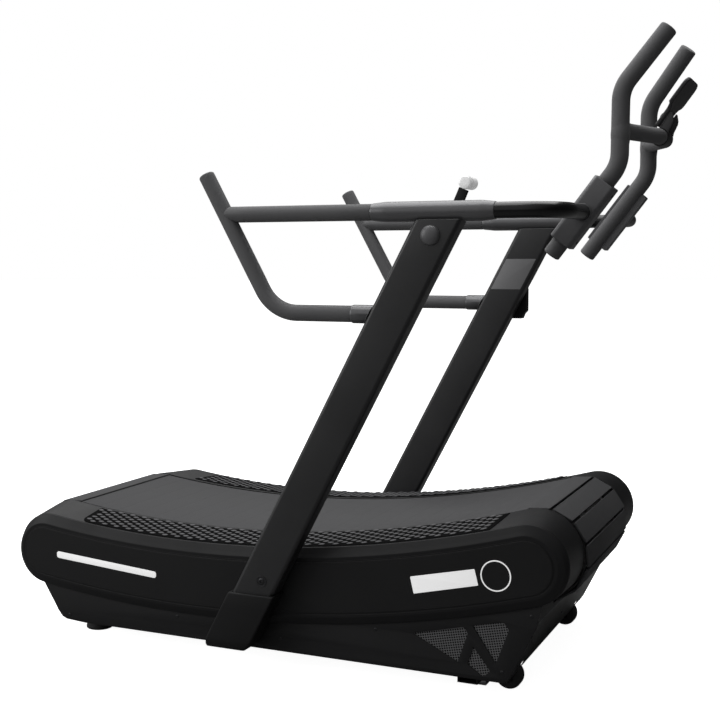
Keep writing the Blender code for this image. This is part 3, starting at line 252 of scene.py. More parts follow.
# painted light: the emission of this finish makes the film lighter than the lamps light it
LABEL_FILM = material("label_film_white", rgb=(0.86, 0.86, 0.86), rough=0.38, tone_var=0.02,
                      grain=900, grain_depth=0.00002, painted_glow=0.40)
PATCH_FILM = material("patch_film_grey", rgb=(0.170, 0.170, 0.174), rough=0.40, metal=0.1,
                      tone_var=0.06, grain=900, grain_depth=0.00003)
MARK_PAINT = material("key_mark_white", rgb=(0.60, 0.60, 0.60), rough=0.5, tone_var=0.03,
                      grain=900, grain_depth=0.00002)
SCREEN = screen_material()


# ------------------------------------------------------------- finishing pieces
def mesh_of(name, bm):
    mesh = bpy.data.meshes.new(name)
    bm.to_mesh(mesh)
    bm.free()
    return mesh


def link_object(name, data):
    ob = bpy.data.objects.new(name, data)
    SCENE.collection.objects.link(ob)
    return ob


def smooth_mesh(mesh, angle):
    mesh.shade_smooth()
    mesh.set_sharp_from_angle(angle=radians(angle))


def use_first_slot(mesh):
    for face in mesh.polygons:
        face.material_index = 0


def place(name, mesh, mat, slot, body="chassis", smooth=40, replaces=None):
    """Put a mesh in the scene as a piece that rides on a body."""
    ob = link_object(name, mesh)
    mesh.materials.append(mat)
    use_first_slot(mesh)
    smooth_mesh(mesh, smooth)
    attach(ob, body)
    if replaces:
        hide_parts(replaces)
    return ob


def add(name, bm, mat, slot, bevel=None, **kwargs):
    """Clean a bmesh, bevel its sharp edges if asked, and place it."""
    bmesh.ops.remove_doubles(bm, verts=bm.verts, dist=1e-6)
    bmesh.ops.recalc_face_normals(bm, faces=bm.faces)
    if bevel:
        edges = [e for e in bm.edges
                 if len(e.link_faces) == 2 and e.calc_face_angle(0) > radians(30)]
        bmesh.ops.bevel(bm, geom=edges, offset=bevel, segments=3, profile=0.5,
                        affect='EDGES', clamp_overlap=True)
    bmesh.ops.translate(bm, verts=bm.verts, vec=OFFSET)
    return place(name, mesh_of(name, bm), mat, slot, **kwargs)


def evaluated_mesh(ob):
    bpy.context.view_layer.update()
    depsgraph = bpy.context.evaluated_depsgraph_get()
    return bpy.data.meshes.new_from_object(ob.evaluated_get(depsgraph))


def carve(ob, tools):
    """Cut a list of bmesh tools out of a placed piece; returns its new mesh."""
    mat = ob.data.materials[0]
    cutters = []
    for i, tool in enumerate(tools):
        bmesh.ops.translate(tool, verts=tool.verts, vec=OFFSET)
        bmesh.ops.recalc_face_normals(tool, faces=tool.faces)
        cutter = link_object("cutter_%d" % i, mesh_of("cutter", tool))
        cut = ob.modifiers.new("cut", 'BOOLEAN')
        cut.operation, cut.solver, cut.object = 'DIFFERENCE', 'EXACT', cutter
        cutters.append(cutter)
    mesh = evaluated_mesh(ob)
    ob.modifiers.clear()
    ob.data = mesh
    mesh.materials.clear()
    mesh.materials.append(mat)
    for cutter in cutters:
        bpy.data.objects.remove(cutter, do_unlink=True)
    return mesh


# --------------------------------------------------------------- shape helpers
def skin(rings, closed=False, gap=-1, bm=None):
    """Join rings of points in a loop; unless closed, it is left open after ring `gap`
    and both sides of the gap are capped."""
    bm = bm or bmesh.new()
    rows = [[bm.verts.new(point) for point in ring] for ring in rings]
    gap %= len(rows)
    count = len(rows[0])
    for k, (row, following) in enumerate(zip(rows, rows[1:] + rows[:1])):
        if k == gap and not closed:
            continue
        for i in range(count):
            j = (i + 1) % count
            bm.faces.new((row[i], row[j], following[j], following[i]))
    if not closed:
        bm.faces.new(rows[(gap + 1) % len(rows)])
        bm.faces.new(rows[gap])
    return bm


def circle(count, r):
    return [(r * cos(2 * pi * i / count), r * sin(2 * pi * i / count)) for i in range(count)]


def mirrored(half):
    """Full profile from its (distance, value) half, listed from the end to the middle."""
    return [(-along, value) for along, value in half] + list(half)[::-1]


def prism(outline, y0, y1, bm=None):
    return skin([[Vector((x, y, z)) for x, z in outline] for y in (y0, y1)], bm=bm)


def block(x0, x1, y0, y1, z0, z1):
    return prism([(x0, z0), (x1, z0), (x1, z1), (x0, z1)], y0, y1)


def turned(profile, origin, axis=(0, 1, 0), up=(0, 0, 1), count=64, closed=False):
    """Body of revolution; the profile holds (distance along the axis, radius)."""
    axis, up, origin = Vector(axis).normalized(), Vector(up).normalized(), Vector(origin)
    across = axis.cross(up)
    return skin([[origin + axis * along + up * i + across * j for i, j in circle(count, r)]
                 for along, r in profile], closed=closed)


def corner(before, point, after, reach_in, reach_out, steps):
    """Quadratic curve that rounds one corner."""
    start = point + (before - point).normalized() * reach_in
    end = point + (after - point).normalized() * reach_out
    curve = []
    for k in range(steps + 1):
        f = k / steps
        curve.append(start * (1 - f) ** 2 + point * 2 * f * (1 - f) + end * f ** 2)
    return curve


def soft_corner(before, point, after, reach, steps):
    return corner(before, point, after, min(reach, (before - point).length * 0.45),
                  min(reach, (after - point).length * 0.45), steps)


def soften(profile, reach, steps=4):
    """Round the inner corners of an open polyline by a distance."""
    points = [Vector(p) for p in profile]
    curve = [points[0]]
    for before, point, after in zip(points, points[1:], points[2:]):
        curve += soft_corner(before, point, after, reach, steps)
    return curve + [points[-1]]


def round_poly(points, radii, steps=6):
    """Round every corner of a closed 2D outline; radii is one value or one per corner."""
    count = len(points)
    curve = []
    for i in range(count):
        r = radii[i] if isinstance(radii, (list, tuple)) else radii
        before, point, after = (Vector(points[(i + k) % count]) for k in (-1, 0, 1))
        angle = (before - point).normalized().angle((after - point).normalized())
        reach = min(r / tan(angle / 2), (before - point).length * 0.48,
                    (after - point).length * 0.48)
        curve += [(p.x, p.y) for p in corner(before, point, after, reach, reach, steps)]
    return curve


def fillet_path(points, radii):
    """3D polyline with circular bends, in steps of at most 4 degrees."""
    points = [Vector(p) for p in points]
    path = [points[0]]
    for before, point, after, r in zip(points, points[1:], points[2:], radii):
        back, ahead = (before - point).normalized(), (after - point).normalized()
        angle = pi - back.angle(ahead)
        reach = r * tan(angle / 2)
        centre = point + (back + ahead).normalized() * (r / cos(angle / 2))
        start, end = point + back * reach - centre, point + ahead * reach - centre
        steps = max(2, int(ceil(angle / radians(4))))
        for j in range(steps + 1):
            f = j / steps
            path.append(centre + (start * sin((1 - f) * angle) + end * sin(f * angle)) / sin(angle))
    return path + [points[-1]]


def resample(path, step=0.012):
    points = [path[0]]
    for start, end in zip(path[:-1], path[1:]):
        count = max(1, int((end - start).length / step))
        points += [start + (end - start) * (i / count) for i in range(1, count + 1)]
    return points


def path_frames(path):
    """(point, across, up, tangent) at each point, carried along without twist."""
    frames = []
    across = Vector((0, 1, 0))
    for i, point in enumerate(path):
        ahead = (path[min(i + 1, len(path) - 1)] - point).normalized()
        behind = (point - path[max(i - 1, 0)]).normalized()
        tangent = (ahead + behind).normalized()
        across = (across - tangent * across.dot(tangent)).normalized()
        frames.append((point, across, tangent.cross(across), tangent))
    return frames


def tube(path, radius, soft=(0.0, 0.0), swell=None):
    """Round bar along a path; soft rounds its ends, swell(run, total) scales its radius."""
    path = resample(path)
    run = [0.0]
    for start, end in zip(path[:-1], path[1:]):
        run.append(run[-1] + (end - start).length)
    total = run[-1]

    def ring(centre, across, up, r):
        return [centre + across * i + up * j for i, j in circle(56, r)]

    def rounded_end(point, across, up, inward, r, edge):
        rings = [ring(point, across, up, (r - edge) * 0.5)]
        for f in (0.0, 0.12, 0.3, 0.5, 0.75, 1.0):
            angle = f * pi / 2
            rings.append(ring(point + inward * edge * (1 - cos(angle)), across, up,
                              r - edge + edge * sin(angle)))
        return rings

    rings = []
    for i, (point, across, up, tangent) in enumerate(path_frames(path)):
        r = radius * (swell(run[i], total) if swell else 1.0)
        if i == 0 and soft[0] > 0:
            rings += rounded_end(point, across, up, tangent, r, soft[0])
        elif i == len(path) - 1 and soft[1] > 0:
            rings += rounded_end(point, across, up, -tangent, r, soft[1])[::-1]
        elif not (soft[0] > 0 and run[i] < soft[0] * 1.2
                  or soft[1] > 0 and total - run[i] < soft[1] * 1.2):
            rings.append(ring(point, across, up, r))
    return skin(rings)


def sheet(outer, y, thick, side, edge, holes=()):
    """Flat plate in an XZ plane with softened edges.  Its outer face is at y."""
    curve = bpy.data.curves.new("sheet", 'CURVE')
    curve.dimensions = '2D'
    curve.fill_mode = 'BOTH'
    curve.extrude = max(thick / 2 - edge, 0.0001)
    curve.bevel_depth = edge
    curve.bevel_resolution = 2
    curve.offset = -edge
    for loop in [outer] + list(holes):
        spline = curve.splines.new('POLY')
        spline.points.add(len(loop) - 1)
        for point, (x, z) in zip(spline.points, loop):
            point.co = (x, z, 0, 1)
        spline.use_cyclic_u = True
    ob = link_object("sheet", curve)
    mesh = evaluated_mesh(ob)
    bpy.data.objects.remove(ob, do_unlink=True)
    bpy.data.curves.remove(curve)
    bm = bmesh.new()
    bm.from_mesh(mesh)
    bpy.data.meshes.remove(mesh)
    middle = y - side * thick / 2
    for vert in bm.verts:
        vert.co = Vector((vert.co.x, middle + side * vert.co.z, vert.co.y))
    bmesh.ops.remove_doubles(bm, verts=bm.verts, dist=1e-6)
    bmesh.ops.dissolve_degenerate(bm, edges=bm.edges, dist=1e-7)
    return bm


def weld_bead(count, sides, radius, ripples, point_at, along):
    """Rippled ring of weld; point_at(angle) gives its centre line and outward direction,
    ripples holds (waves, height)."""
    rings = []
    for i in range(count):
        angle = 2 * pi * i / count
        centre, outward = point_at(angle)
        r = radius + sum(height * sin(waves * angle) for waves, height in ripples)
        rings.append([centre + outward * r * cos(2 * pi * j / sides)
                      + along * r * sin(2 * pi * j / sides) for j in range(sides)])
    return skin(rings, closed=True)


def screw_mesh(name, r=0.0042, height=0.0016):
    """Button-head screw with a hexagon socket, head along +Z."""
    count = 48
    rings = [[Vector((x, y, z)) for x, y in circle(count, ring_r)] for z, ring_r in (
        (0.0, r), (height * 0.35, r), (height * 0.75, r * 0.86), (height, r * 0.60))]
    for socket_r, z in ((r * 0.50, height), (r * 0.47, height * 0.25)):
        ring = []
        for i in range(count):
            angle = 2 * pi * i / count
            reach = socket_r * cos(pi / 6) / cos((angle % (pi / 3)) - pi / 6)
            ring.append(Vector((reach * cos(angle), reach * sin(angle), z)))
        rings.append(ring)
    bm = skin(rings)
    bmesh.ops.recalc_face_normals(bm, faces=bm.faces)
    mesh = mesh_of(name, bm)
    mesh.materials.append(BOLT_STEEL)
    smooth_mesh(mesh, 35)
    return mesh


SCREW = screw_mesh("button_screw")


def put_screw(name, at, axis, mesh=SCREW):
    ob = link_object(name, mesh)
    turn = Vector(axis).to_track_quat('Z', 'Y').to_matrix().to_4x4()
    ob.matrix_world = Matrix.Translation(Vector(at) + OFFSET) @ turn
    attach(ob, "chassis")


# ------------------------------------------------------------ curved centreline
def arc_point(angle, below):
    """(x, z) at a distance below the centreline arc."""
    return ARC_X + (ARC_R + below) * sin(angle), ARC_Z - (ARC_R + below) * cos(angle)


def drum_point(x, z, angle, r):
    return x + r * sin(angle), z + r * cos(angle)


ARC_STEPS, END_STEPS = 96, 56


def curved_outline(top, bottom):
    """Closed (x, z) outline that lies `top` above and `bottom` below the centreline."""
    def reach(blend):
        return bottom + (top - bottom) * (1 + blend) / 2

    points = [arc_point(-REAR_A + SWEEP * i / ARC_STEPS, -top) for i in range(ARC_STEPS + 1)]
    for i in range(1, END_STEPS):
        angle = pi * i / END_STEPS
        points.append(drum_point(DRUM_X, FRONT_Z, angle - FRONT_A, reach(cos(angle))))
    points += [arc_point(FRONT_A - SWEEP * i / ARC_STEPS, bottom) for i in range(ARC_STEPS + 1)]
    for i in range(1, END_STEPS):
        angle = pi - pi * i / END_STEPS
        points.append(drum_point(-DRUM_X, REAR_Z, REAR_A - angle, reach(cos(angle))))
    return points


# ------------------------------------------------------------------------ belt
BELT_R, BELT_HALF, SLATS = 0.114, 0.2285, 58    # face from the centreline, half width
FRONT_LEAD = 0.0055                             # last top slat ends this far before the drum
TOP_RUN = SWEEP * (ARC_R - BELT_R)
RETURN_RUN = SWEEP * (ARC_R + BELT_R)
END_RUN = pi * BELT_R
BELT_LENGTH = TOP_RUN + RETURN_RUN + 2 * END_RUN
PITCH = BELT_LENGTH / SLATS


def belt_at(run):
    """Point, forward direction and outward normal on the belt's face."""
    def on_drum(drum_x, drum_z, angle):
        x, z = drum_point(drum_x, drum_z, angle, BELT_R)
        return (Vector((x, 0, z)), Vector((cos(angle), 0, -sin(angle))),
                Vector((sin(angle), 0, cos(angle))))

    def on_arc(angle, below, way):
        x, z = arc_point(angle, below)
        return (Vector((x, 0, z)), Vector((cos(angle), 0, sin(angle))) * way,
                Vector((-sin(angle), 0, cos(angle))) * way)

    run %= BELT_LENGTH
    if run < TOP_RUN:
        return on_arc(-REAR_A + run / (ARC_R - BELT_R), -BELT_R, 1)
    run -= TOP_RUN
    if run < END_RUN:
        return on_drum(DRUM_X, FRONT_Z, -FRONT_A + run / BELT_R)
    run -= END_RUN
    if run < RETURN_RUN:
        return on_arc(FRONT_A - run / (ARC_R + BELT_R), BELT_R, -1)
    run -= RETURN_RUN
    return on_drum(-DRUM_X, REAR_Z, -pi + REAR_A + run / BELT_R)


def slat_mesh(name, gap, edge, hollow=0.0):
    """Rubber plank with softened edges, one pitch less a gap long; hollow is the
    curvature of its run."""
    half, waist = (PITCH - gap) / 2, 0.0027
    rise = half * half * hollow / 2
    middle = [(-half + 2 * half * i / 8, (half * (i - 4) / 4) ** 2 * hollow / 2)
              for i in range(1, 8)] if hollow else []
    profile = round_poly([(-half, rise), (half, rise), (half, -0.0030), (half - 0.0012, -0.0054),
                          (-half + 0.0012, -0.0054), (-half, -0.0030)],
                         [edge, edge, 0.0006, 0.0004, 0.0004, 0.0006], 5)
    profile = profile[:6] + middle + profile[6:]
    stations = mirrored([(BELT_HALF, 0.0010), (BELT_HALF - 0.0003, 0.0004),
                         (BELT_HALF - 0.0010, 0.0)])    # y, inset
    bm = skin([[Vector((x * (1 - inset / half), y, -waist + (z + waist) * (1 - inset / waist)))
                for x, z in profile] for y, inset in stations])
    bmesh.ops.recalc_face_normals(bm, faces=bm.faces)
    mesh = mesh_of(name, bm)
    mesh.materials.append(SLAT_RUBBER)
    smooth_mesh(mesh, 50)
    return mesh


def carriers(start, count):
    """Two belts under the slats of one run."""
    bm = bmesh.new()
    steps = 4 * count
    outer, inner = [], []
    for k in range(steps + 1):
        point, _, normal = belt_at(start + 0.0040 + (count * PITCH - 0.0080) * k / steps)
        outer.append(point - normal * 0.0058)
        inner.append(point - normal * 0.0100)
    loop = [(p.x, p.z) for p in outer + inner[::-1]]
    for side in (-1, 1):
        prism(loop, side * 0.1350, side * 0.2235, bm)
    return bm


def belt():
    wrap_start = TOP_RUN - FRONT_LEAD
    # run, body, first slat counted from the front drum, slats, plank
    runs = (("belt_upper", "belt_top_run", -22, 22,
             slat_mesh("slat_top", gap=0.00012, edge=0.0002, hollow=1 / (ARC_R - BELT_R))),
            ("belt_front", "front_roller", 0, 6, slat_mesh("slat_wrap", gap=0.0066, edge=0.0009)),
            ("belt_lower", "belt_return_run", 6, 24,
             slat_mesh("slat_return", gap=0.0016, edge=0.0008)),
            ("belt_rear", "rear_roller", 30, 6,
             slat_mesh("slat_wrap_rear", gap=0.0016, edge=0.0008)))
    for run, body, first, count, plank in runs:
        start = wrap_start + first * PITCH
        add(run + "_carriers", carriers(start, count), CARRIER_RUBBER, "belt_rubber", body=body,
            smooth=38, replaces=run)
        for k in range(count):
            at, ahead, out = belt_at(start + (k + 0.5) * PITCH)
            ob = link_object("%s_slat_%02d" % (run, k + 1), plank)
            ob.matrix_world = Matrix.Translation(OFFSET) @ Matrix(
                ((ahead.x, 0, out.x, at.x), (0, 1, 0, 0), (ahead.z, 0, out.z, at.z), (0, 0, 0, 1)))
            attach(ob, body)


# ----------------------------------------------------------------------- drums
# half profile without the shaft ends: distance from the middle, radius
DRUM_HALF = [(0.1930, 0.0122), (0.1930, 0.0300), (0.1900, 0.0330), (0.1900, 0.0840),
             (0.1930, 0.0870), (0.1930, 0.0985), (0.1905, 0.1012), (0.1320, 0.1012),
             (0.1300, 0.0990), (0.1300, 0.0470), (0.1270, 0.0450)]


def drum(name, body, x, z, y0, y1):
    profile = ([(y0, 0.0095), (y0 + 0.0025, 0.0122)] + mirrored(DRUM_HALF)
               + [(y1 - 0.0025, 0.0122), (y1, 0.0095)])
    add(name + "_turned", turned(profile, (x, 0, z), count=72), ALLOY, "drum_alloy", body=body,
        smooth=30, replaces=name)


def brake_disc():
    """Thin disc and its hub on the right end of the front drum; profiles are (y, radius)."""
    rotor = [(-0.2788, 0.0225), (-0.2788, 0.0765), (-0.2782, 0.0775), (-0.2758, 0.0775),
             (-0.2752, 0.0765), (-0.2752, 0.0225)]
    hub = [(-0.2850, 0.0045), (-0.2850, 0.0200), (-0.2840, 0.0215), (-0.2728, 0.0215),
           (-0.2725, 0.0200), (-0.2725, 0.0045)]
    centre = (DRUM_X, 0, FRONT_Z)
    add("brake_disc_rotor", turned(rotor, centre, count=72, closed=True), STEEL, "turned_steel",
        body="front_roller", smooth=30)
    add("brake_disc_hub", turned(hub, centre, count=48, closed=True), STEEL, "turned_steel",
        body="front_roller", smooth=30, replaces="brake_disc")


# ---------------------------------------------------------------------- covers
COVER_IN_Y, COVER_MID_Y, COVER_IN_R, COVER_MID_R = 0.2365, 0.345, 0.1155, 0.0965
# drawn |y|, built |y|
COVER_SPREAD = ((COVER_IN_Y, COVER_IN_Y), (COVER_MID_Y, 0.3830), (0.3605, 0.3905),
                (0.3700, 0.3955), (0.3722, 0.3977))


def cover_r(y):
    """Height of the cover's top face above the centreline at |y|."""
    return (COVER_IN_R + (COVER_MID_R - COVER_IN_R) * (y - COVER_IN_Y)
            / (COVER_MID_Y - COVER_IN_Y))


# skin, then liner: drawn |y|, height above and depth below the centreline
SHELL = [(0.2365, 0.1122, 0.0967), (COVER_IN_Y, COVER_IN_R, 0.1000),
         (0.300, cover_r(0.300), 0.0985), (0.3412, cover_r(0.3412), 0.09714),
         (0.3418, cover_r(0.3418) - 0.0012, 0.0962), (0.3428, cover_r(0.3428) - 0.0012, 0.0962),
         (0.3434, cover_r(0.3434), 0.0970), (0.3462, 0.0960, 0.0968), (0.3602, 0.0832, 0.0943),
         (0.3700, 0.0752, 0.0752), (0.3700, 0.0685, 0.0685), (0.3694, 0.0680, 0.0680),
         (0.3694, 0.0672, 0.0672), (0.3700, 0.0667, 0.0667), (0.3700, 0.0560, 0.0560)]
LINER = [(0.3665, 0.0560, 0.0560), (0.3665, 0.0715, 0.0715), (0.3580, 0.0795, 0.0905),
         (0.3440, 0.0925, 0.0930), (0.300, cover_r(0.300) - 0.0035, 0.0950),
         (0.2395, 0.1115, 0.0960), (0.2395, 0.1112, 0.0957)]
# outer plate, with a softened rim and a fine groove inside it: drawn |y|, radius
PLATE = [(0.3702, 0.0560), (0.3702, 0.0640), (0.3712, 0.0640), (0.3716, 0.0637),
         (0.3718, 0.0632), (0.3718, 0.0618), (0.3715, 0.0615), (0.3715, 0.0611),
         (0.3718, 0.0608), (0.3718, 0.0560)]


def spread(y):
    for (y0, built0), (y1, built1) in zip(COVER_SPREAD[:-1], COVER_SPREAD[1:]):
        if y0 < y <= y1:
            return built0 + (built1 - built0) * (y - y0) / (y1 - y0)
    return y


def cover_ring(side, y, top, bottom):
    """Section of the cover, moved out to its built width; it shrinks a little as it goes."""
    y = Vector((y, 0)).x    # single precision, like the points of the skin
    built = spread(y)
    shrink = (EYE_Y - built) / (EYE_Y - y)
    return [Vector((EYE_X + (x - EYE_X) * shrink, side * built, EYE_Z + (z - EYE_Z) * shrink))
            for x, z in curved_outline(top, bottom)]


def shell_profile():
    """Stations of the skin, with its inner edge and its three outer bends rounded."""
    points = [Vector(p) for p in SHELL]
    profile = points[:1] + corner(*points[:3], 0.0022, 0.0022, 4) + points[2:7]
    for i, reach in ((7, 0.0016), (8, 0.0030), (9, 0.0022)):
        profile += soft_corner(*points[i - 1:i + 2], reach, 5)
    return profile + points[10:]


def cover(side, tag):
    profile = shell_profile()
    rings = [cover_ring(side, *station) for station in profile + LINER]
    add("cover_shell_" + tag, skin(rings, gap=len(profile) - 1), COVER_PLASTIC, "cover_black",
        smooth=24, replaces="side_cover_" + tag)
    add("side_plate_" + tag, skin([cover_ring(side, y, r, r) for y, r in PLATE]), PLATE_PLASTIC,
        "plate_black", smooth=24, replaces="cover_plate_" + tag)


# ---------------------------------------------------------------- tread strips
TREAD_IN_Y, TREAD_OUT_Y = 0.2450, 0.3400
TREAD_REAR_X, TREAD_FRONT_IN_X, TREAD_FRONT_OUT_X = -0.5830, 0.610, 0.588
TREAD_COUNT_X, TREAD_COUNT_Y = 1080, 92
LOZENGE_ROWS, ROW_Y, ROW_STEP = 10, 0.2518, 0.0089
LOZENGE_X, LOZENGE_STEP, ROW_SHIFT = -0.5530, 0.03855, 0.0173
LOZENGE_HALF_X, LOZENGE_HALF_Y, LOZENGE_POWER, LOZENGE_SHEAR = 0.0100, 0.0054, 1.7, 0.22


def tread_front(y):
    """The slanted front edge."""
    return (TREAD_FRONT_IN_X + (TREAD_FRONT_OUT_X - TREAD_FRONT_IN_X) * (y - TREAD_IN_Y)
            / (TREAD_OUT_Y - TREAD_IN_Y))


def lozenge_relief(x_grid, y_grid):
    """Height, 0 to 1, of rounded lozenges in sheared rows."""
    relief = np.zeros_like(x_grid)
    for k in range(LOZENGE_ROWS):
        row_y = ROW_Y + ROW_STEP * k
        first_x = LOZENGE_X + ((k - 2) * ROW_SHIFT) % LOZENGE_STEP
        turn = (x_grid - first_x) / LOZENGE_STEP
        from_centre = (turn - np.round(turn)) * LOZENGE_STEP
        centre_x = first_x + np.round(turn) * LOZENGE_STEP
        rear = TREAD_REAR_X + (0.006 if row_y > 0.318 else 0.0)
        whole = (centre_x < tread_front(row_y) - 0.0080) & (centre_x > rear + 0.0095)
        off_y = y_grid - row_y
        reach = ((np.abs(from_centre + LOZENGE_SHEAR * off_y) / LOZENGE_HALF_X) ** LOZENGE_POWER
                 + (np.abs(off_y) / LOZENGE_HALF_Y) ** LOZENGE_POWER)
        relief = np.maximum(relief, np.where(whole, np.clip(1 - reach, 0, 1) ** 0.42, 0))
    return relief


def tread_faces(side):
    """Quads of the top grid, the bottom grid and the rim between them."""
    index = np.arange(TREAD_COUNT_X * TREAD_COUNT_Y).reshape(TREAD_COUNT_X, TREAD_COUNT_Y)
    below = index.size
    q0, q1, q2, q3 = index[:-1, :-1], index[1:, :-1], index[1:, 1:], index[:-1, 1:]
    top = np.stack([q0, q1, q2, q3], -1).reshape(-1, 4)
    bottom = np.stack([q0, q3, q2, q1], -1).reshape(-1, 4) + below
    rim = np.concatenate([index[:, 0], index[-1, 1:], index[-2::-1, -1], index[0, -2:0:-1]])
    following = np.roll(rim, -1)
    wall_quads = np.stack([rim, rim + below, following + below, following], -1)
    faces = np.concatenate([top, bottom, wall_quads])
    return faces if side > 0 else faces[:, ::-1]


def tread(side, tag):
    """Strip on the cover's top face, with the lozenges as real relief."""
    along = np.linspace(0, 1, TREAD_COUNT_X)
    across = np.linspace(0, 1, TREAD_COUNT_Y)
    y = TREAD_IN_Y + (TREAD_OUT_Y - TREAD_IN_Y) * across
    from_in, from_out = y - TREAD_IN_Y, TREAD_OUT_Y - y
    rear = np.full(TREAD_COUNT_Y, TREAD_REAR_X)
    for depth, radius in ((from_in, 0.010), (from_out, 0.024)):     # rounded rear corners
        reach = np.clip(radius - depth, 0, radius)
        rear += radius - np.sqrt(radius ** 2 - reach ** 2)
    front = tread_front(y)
    x_grid = rear[None, :] + (front - rear)[None, :] * along[:, None]
    y_grid = np.repeat(y[None, :], TREAD_COUNT_X, 0)
    relief = lozenge_relief(x_grid, y_grid)
    edge = np.minimum(np.minimum(from_in, from_out)[None, :],
                      np.minimum(x_grid - rear[None, :], front[None, :] - x_grid))
    rim = 1 - (1 - np.clip(edge / 0.0016, 0, 1)) ** 2
    built_y = COVER_IN_Y + (y_grid - COVER_IN_Y) * (COVER_SPREAD[1][1] - COVER_IN_Y) / (
        COVER_MID_Y - COVER_IN_Y)
    shrink = (EYE_Y - built_y) / (EYE_Y - y_grid)

    def surface(lift):
        z = ARC_Z - np.sqrt((ARC_R - cover_r(y_grid) - lift) ** 2 - (x_grid - ARC_X) ** 2)
        return np.stack([EYE_X + (x_grid - EYE_X) * shrink, side * built_y,
                         EYE_Z + (z - EYE_Z) * shrink], -1).reshape(-1, 3)

    points = np.concatenate([surface(0.0012 + 0.0005 * rim + 0.0032 * relief),
                             surface(0.0006)]) + np.array(OFFSET)
    faces = tread_faces(side)
    mesh = bpy.data.meshes.new("lozenge_tread_" + tag)
    mesh.vertices.add(len(points))
    mesh.vertices.foreach_set("co", points.astype(np.float32).ravel())
    mesh.loops.add(faces.size)
    mesh.loops.foreach_set("vertex_index", faces.astype(np.int32).ravel())
    mesh.polygons.add(len(faces))
    mesh.polygons.foreach_set("loop_start", np.arange(0, faces.size, 4, dtype=np.int32))
    mesh.update(calc_edges=True)
    mesh.validate()
    height = np.concatenate([relief.ravel(), np.zeros(relief.size)]).astype(np.float32)
    mesh.attributes.new("relief", 'FLOAT', 'POINT').data.foreach_set("value", height)
    place("lozenge_tread_" + tag, mesh, TREAD_RUBBER, "tread_rubber", smooth=60,
          replaces="tread_strip_" + tag)


# ---------------------------------------------------------------------- skirts
# all outlines are (x, z) as drawn, before in_skirt
VENTS = [round_poly([(0.401, 0.131), (0.533, 0.1625), (0.5415, 0.1470), (0.5165, 0.0745)],
                    [0.003, 0.010, 0.006, 0.003]),
         round_poly([(0.553, 0.168), (0.630, 0.1855), (0.6425, 0.1680), (0.6110, 0.0830)],
                    [0.004, 0.012, 0.008, 0.0035]),
         round_poly([(0.5555, 0.118), (0.5415, 0.0735), (0.579, 0.0470), (0.598, 0.0625)],
                    [0.003, 0.005, 0.006, 0.006])]
MESH_SHEET = [(0.392, 0.042), (0.626, 0.043), (0.649, 0.100), (0.660, 0.1950),
              (0.540, 0.1745), (0.392, 0.1400)]
SKIRT_SCREWS = [(-0.611, 0.055), (-0.264, 0.092), (0.042, 0.071), (0.305, 0.128),
                (0.696, 0.207), (0.627, 0.065)]
SKIRT_BOTTOM = round_poly([(0.707, 0.178), (0.642, 0.047), (0.632, 0.0385), (-0.559, 0.0380),
                           (-0.621, 0.0420), (-0.635, 0.0480), (-0.652, 0.0680)],
                          [0.0005, 0.006, 0.006, 0.02, 0.01, 0.006, 0.0005], 4)
SKIRT_R = 0.0915            # top edge below the centreline
# opening for the cross beam: beam section and the clearance round it
BEAM_X0, BEAM_X1, BEAM_Z0, BEAM_Z1 = -0.108, -0.026, 0.0585, 0.0825
BEAM_GAP_X, BEAM_GAP_Z = 0.006, 0.003
HOLE_PITCH, HOLE_R, HOLE_LEAN = 0.00607, 0.00238, radians(12.2)


def in_skirt(outline):
    return [Vector((EYE_X + (x - EYE_X) * SKIRT_SHRINK, EYE_Z + (z - EYE_Z) * SKIRT_SHRINK))
            for x, z in outline]


def skirt(side, tag):
    top = [arc_point(-REAR_A + SWEEP * i / 64, SKIRT_R) for i in range(65)]
    for degrees in (1.5, 3.0, 4.6, 6.2, 7.8, 9.3):
        top.append(drum_point(DRUM_X, FRONT_Z, pi - FRONT_A - radians(degrees), SKIRT_R))
    x0, x1 = BEAM_X0 - BEAM_GAP_X, BEAM_X1 + BEAM_GAP_X
    z0, z1 = BEAM_Z0 - BEAM_GAP_Z, BEAM_Z1 + BEAM_GAP_Z
    window = round_poly([(x0, z0), (x1, z0), (x1, z1), (x0, z1)], 0.003, 4)
    bm = sheet(in_skirt(top + SKIRT_BOTTOM), side * SKIRT_Y, SKIRT_T, side, 0.0005,
               holes=[in_skirt(vent) for vent in VENTS] + [window])
    add("skirt_sheet_" + tag, bm, SKIRT_METAL, "cover_black", smooth=30, replaces="skirt_" + tag)
    for i, (x, z) in enumerate(in_skirt(SKIRT_SCREWS)):
        put_screw("skirt_screw_%s_%d" % (tag, i + 1), (x, side * (SKIRT_Y - 0.0002), z),
                  (0, side, 0))


def inside(point, outline):
    hit = False
    for (x0, z0), (x1, z1) in zip(outline, outline[1:] + outline[:1]):
        if ((z0 > point.y) != (z1 > point.y)
                and point.x < x0 + (x1 - x0) * (point.y - z0) / (z1 - z0)):
            hit = not hit
    return hit


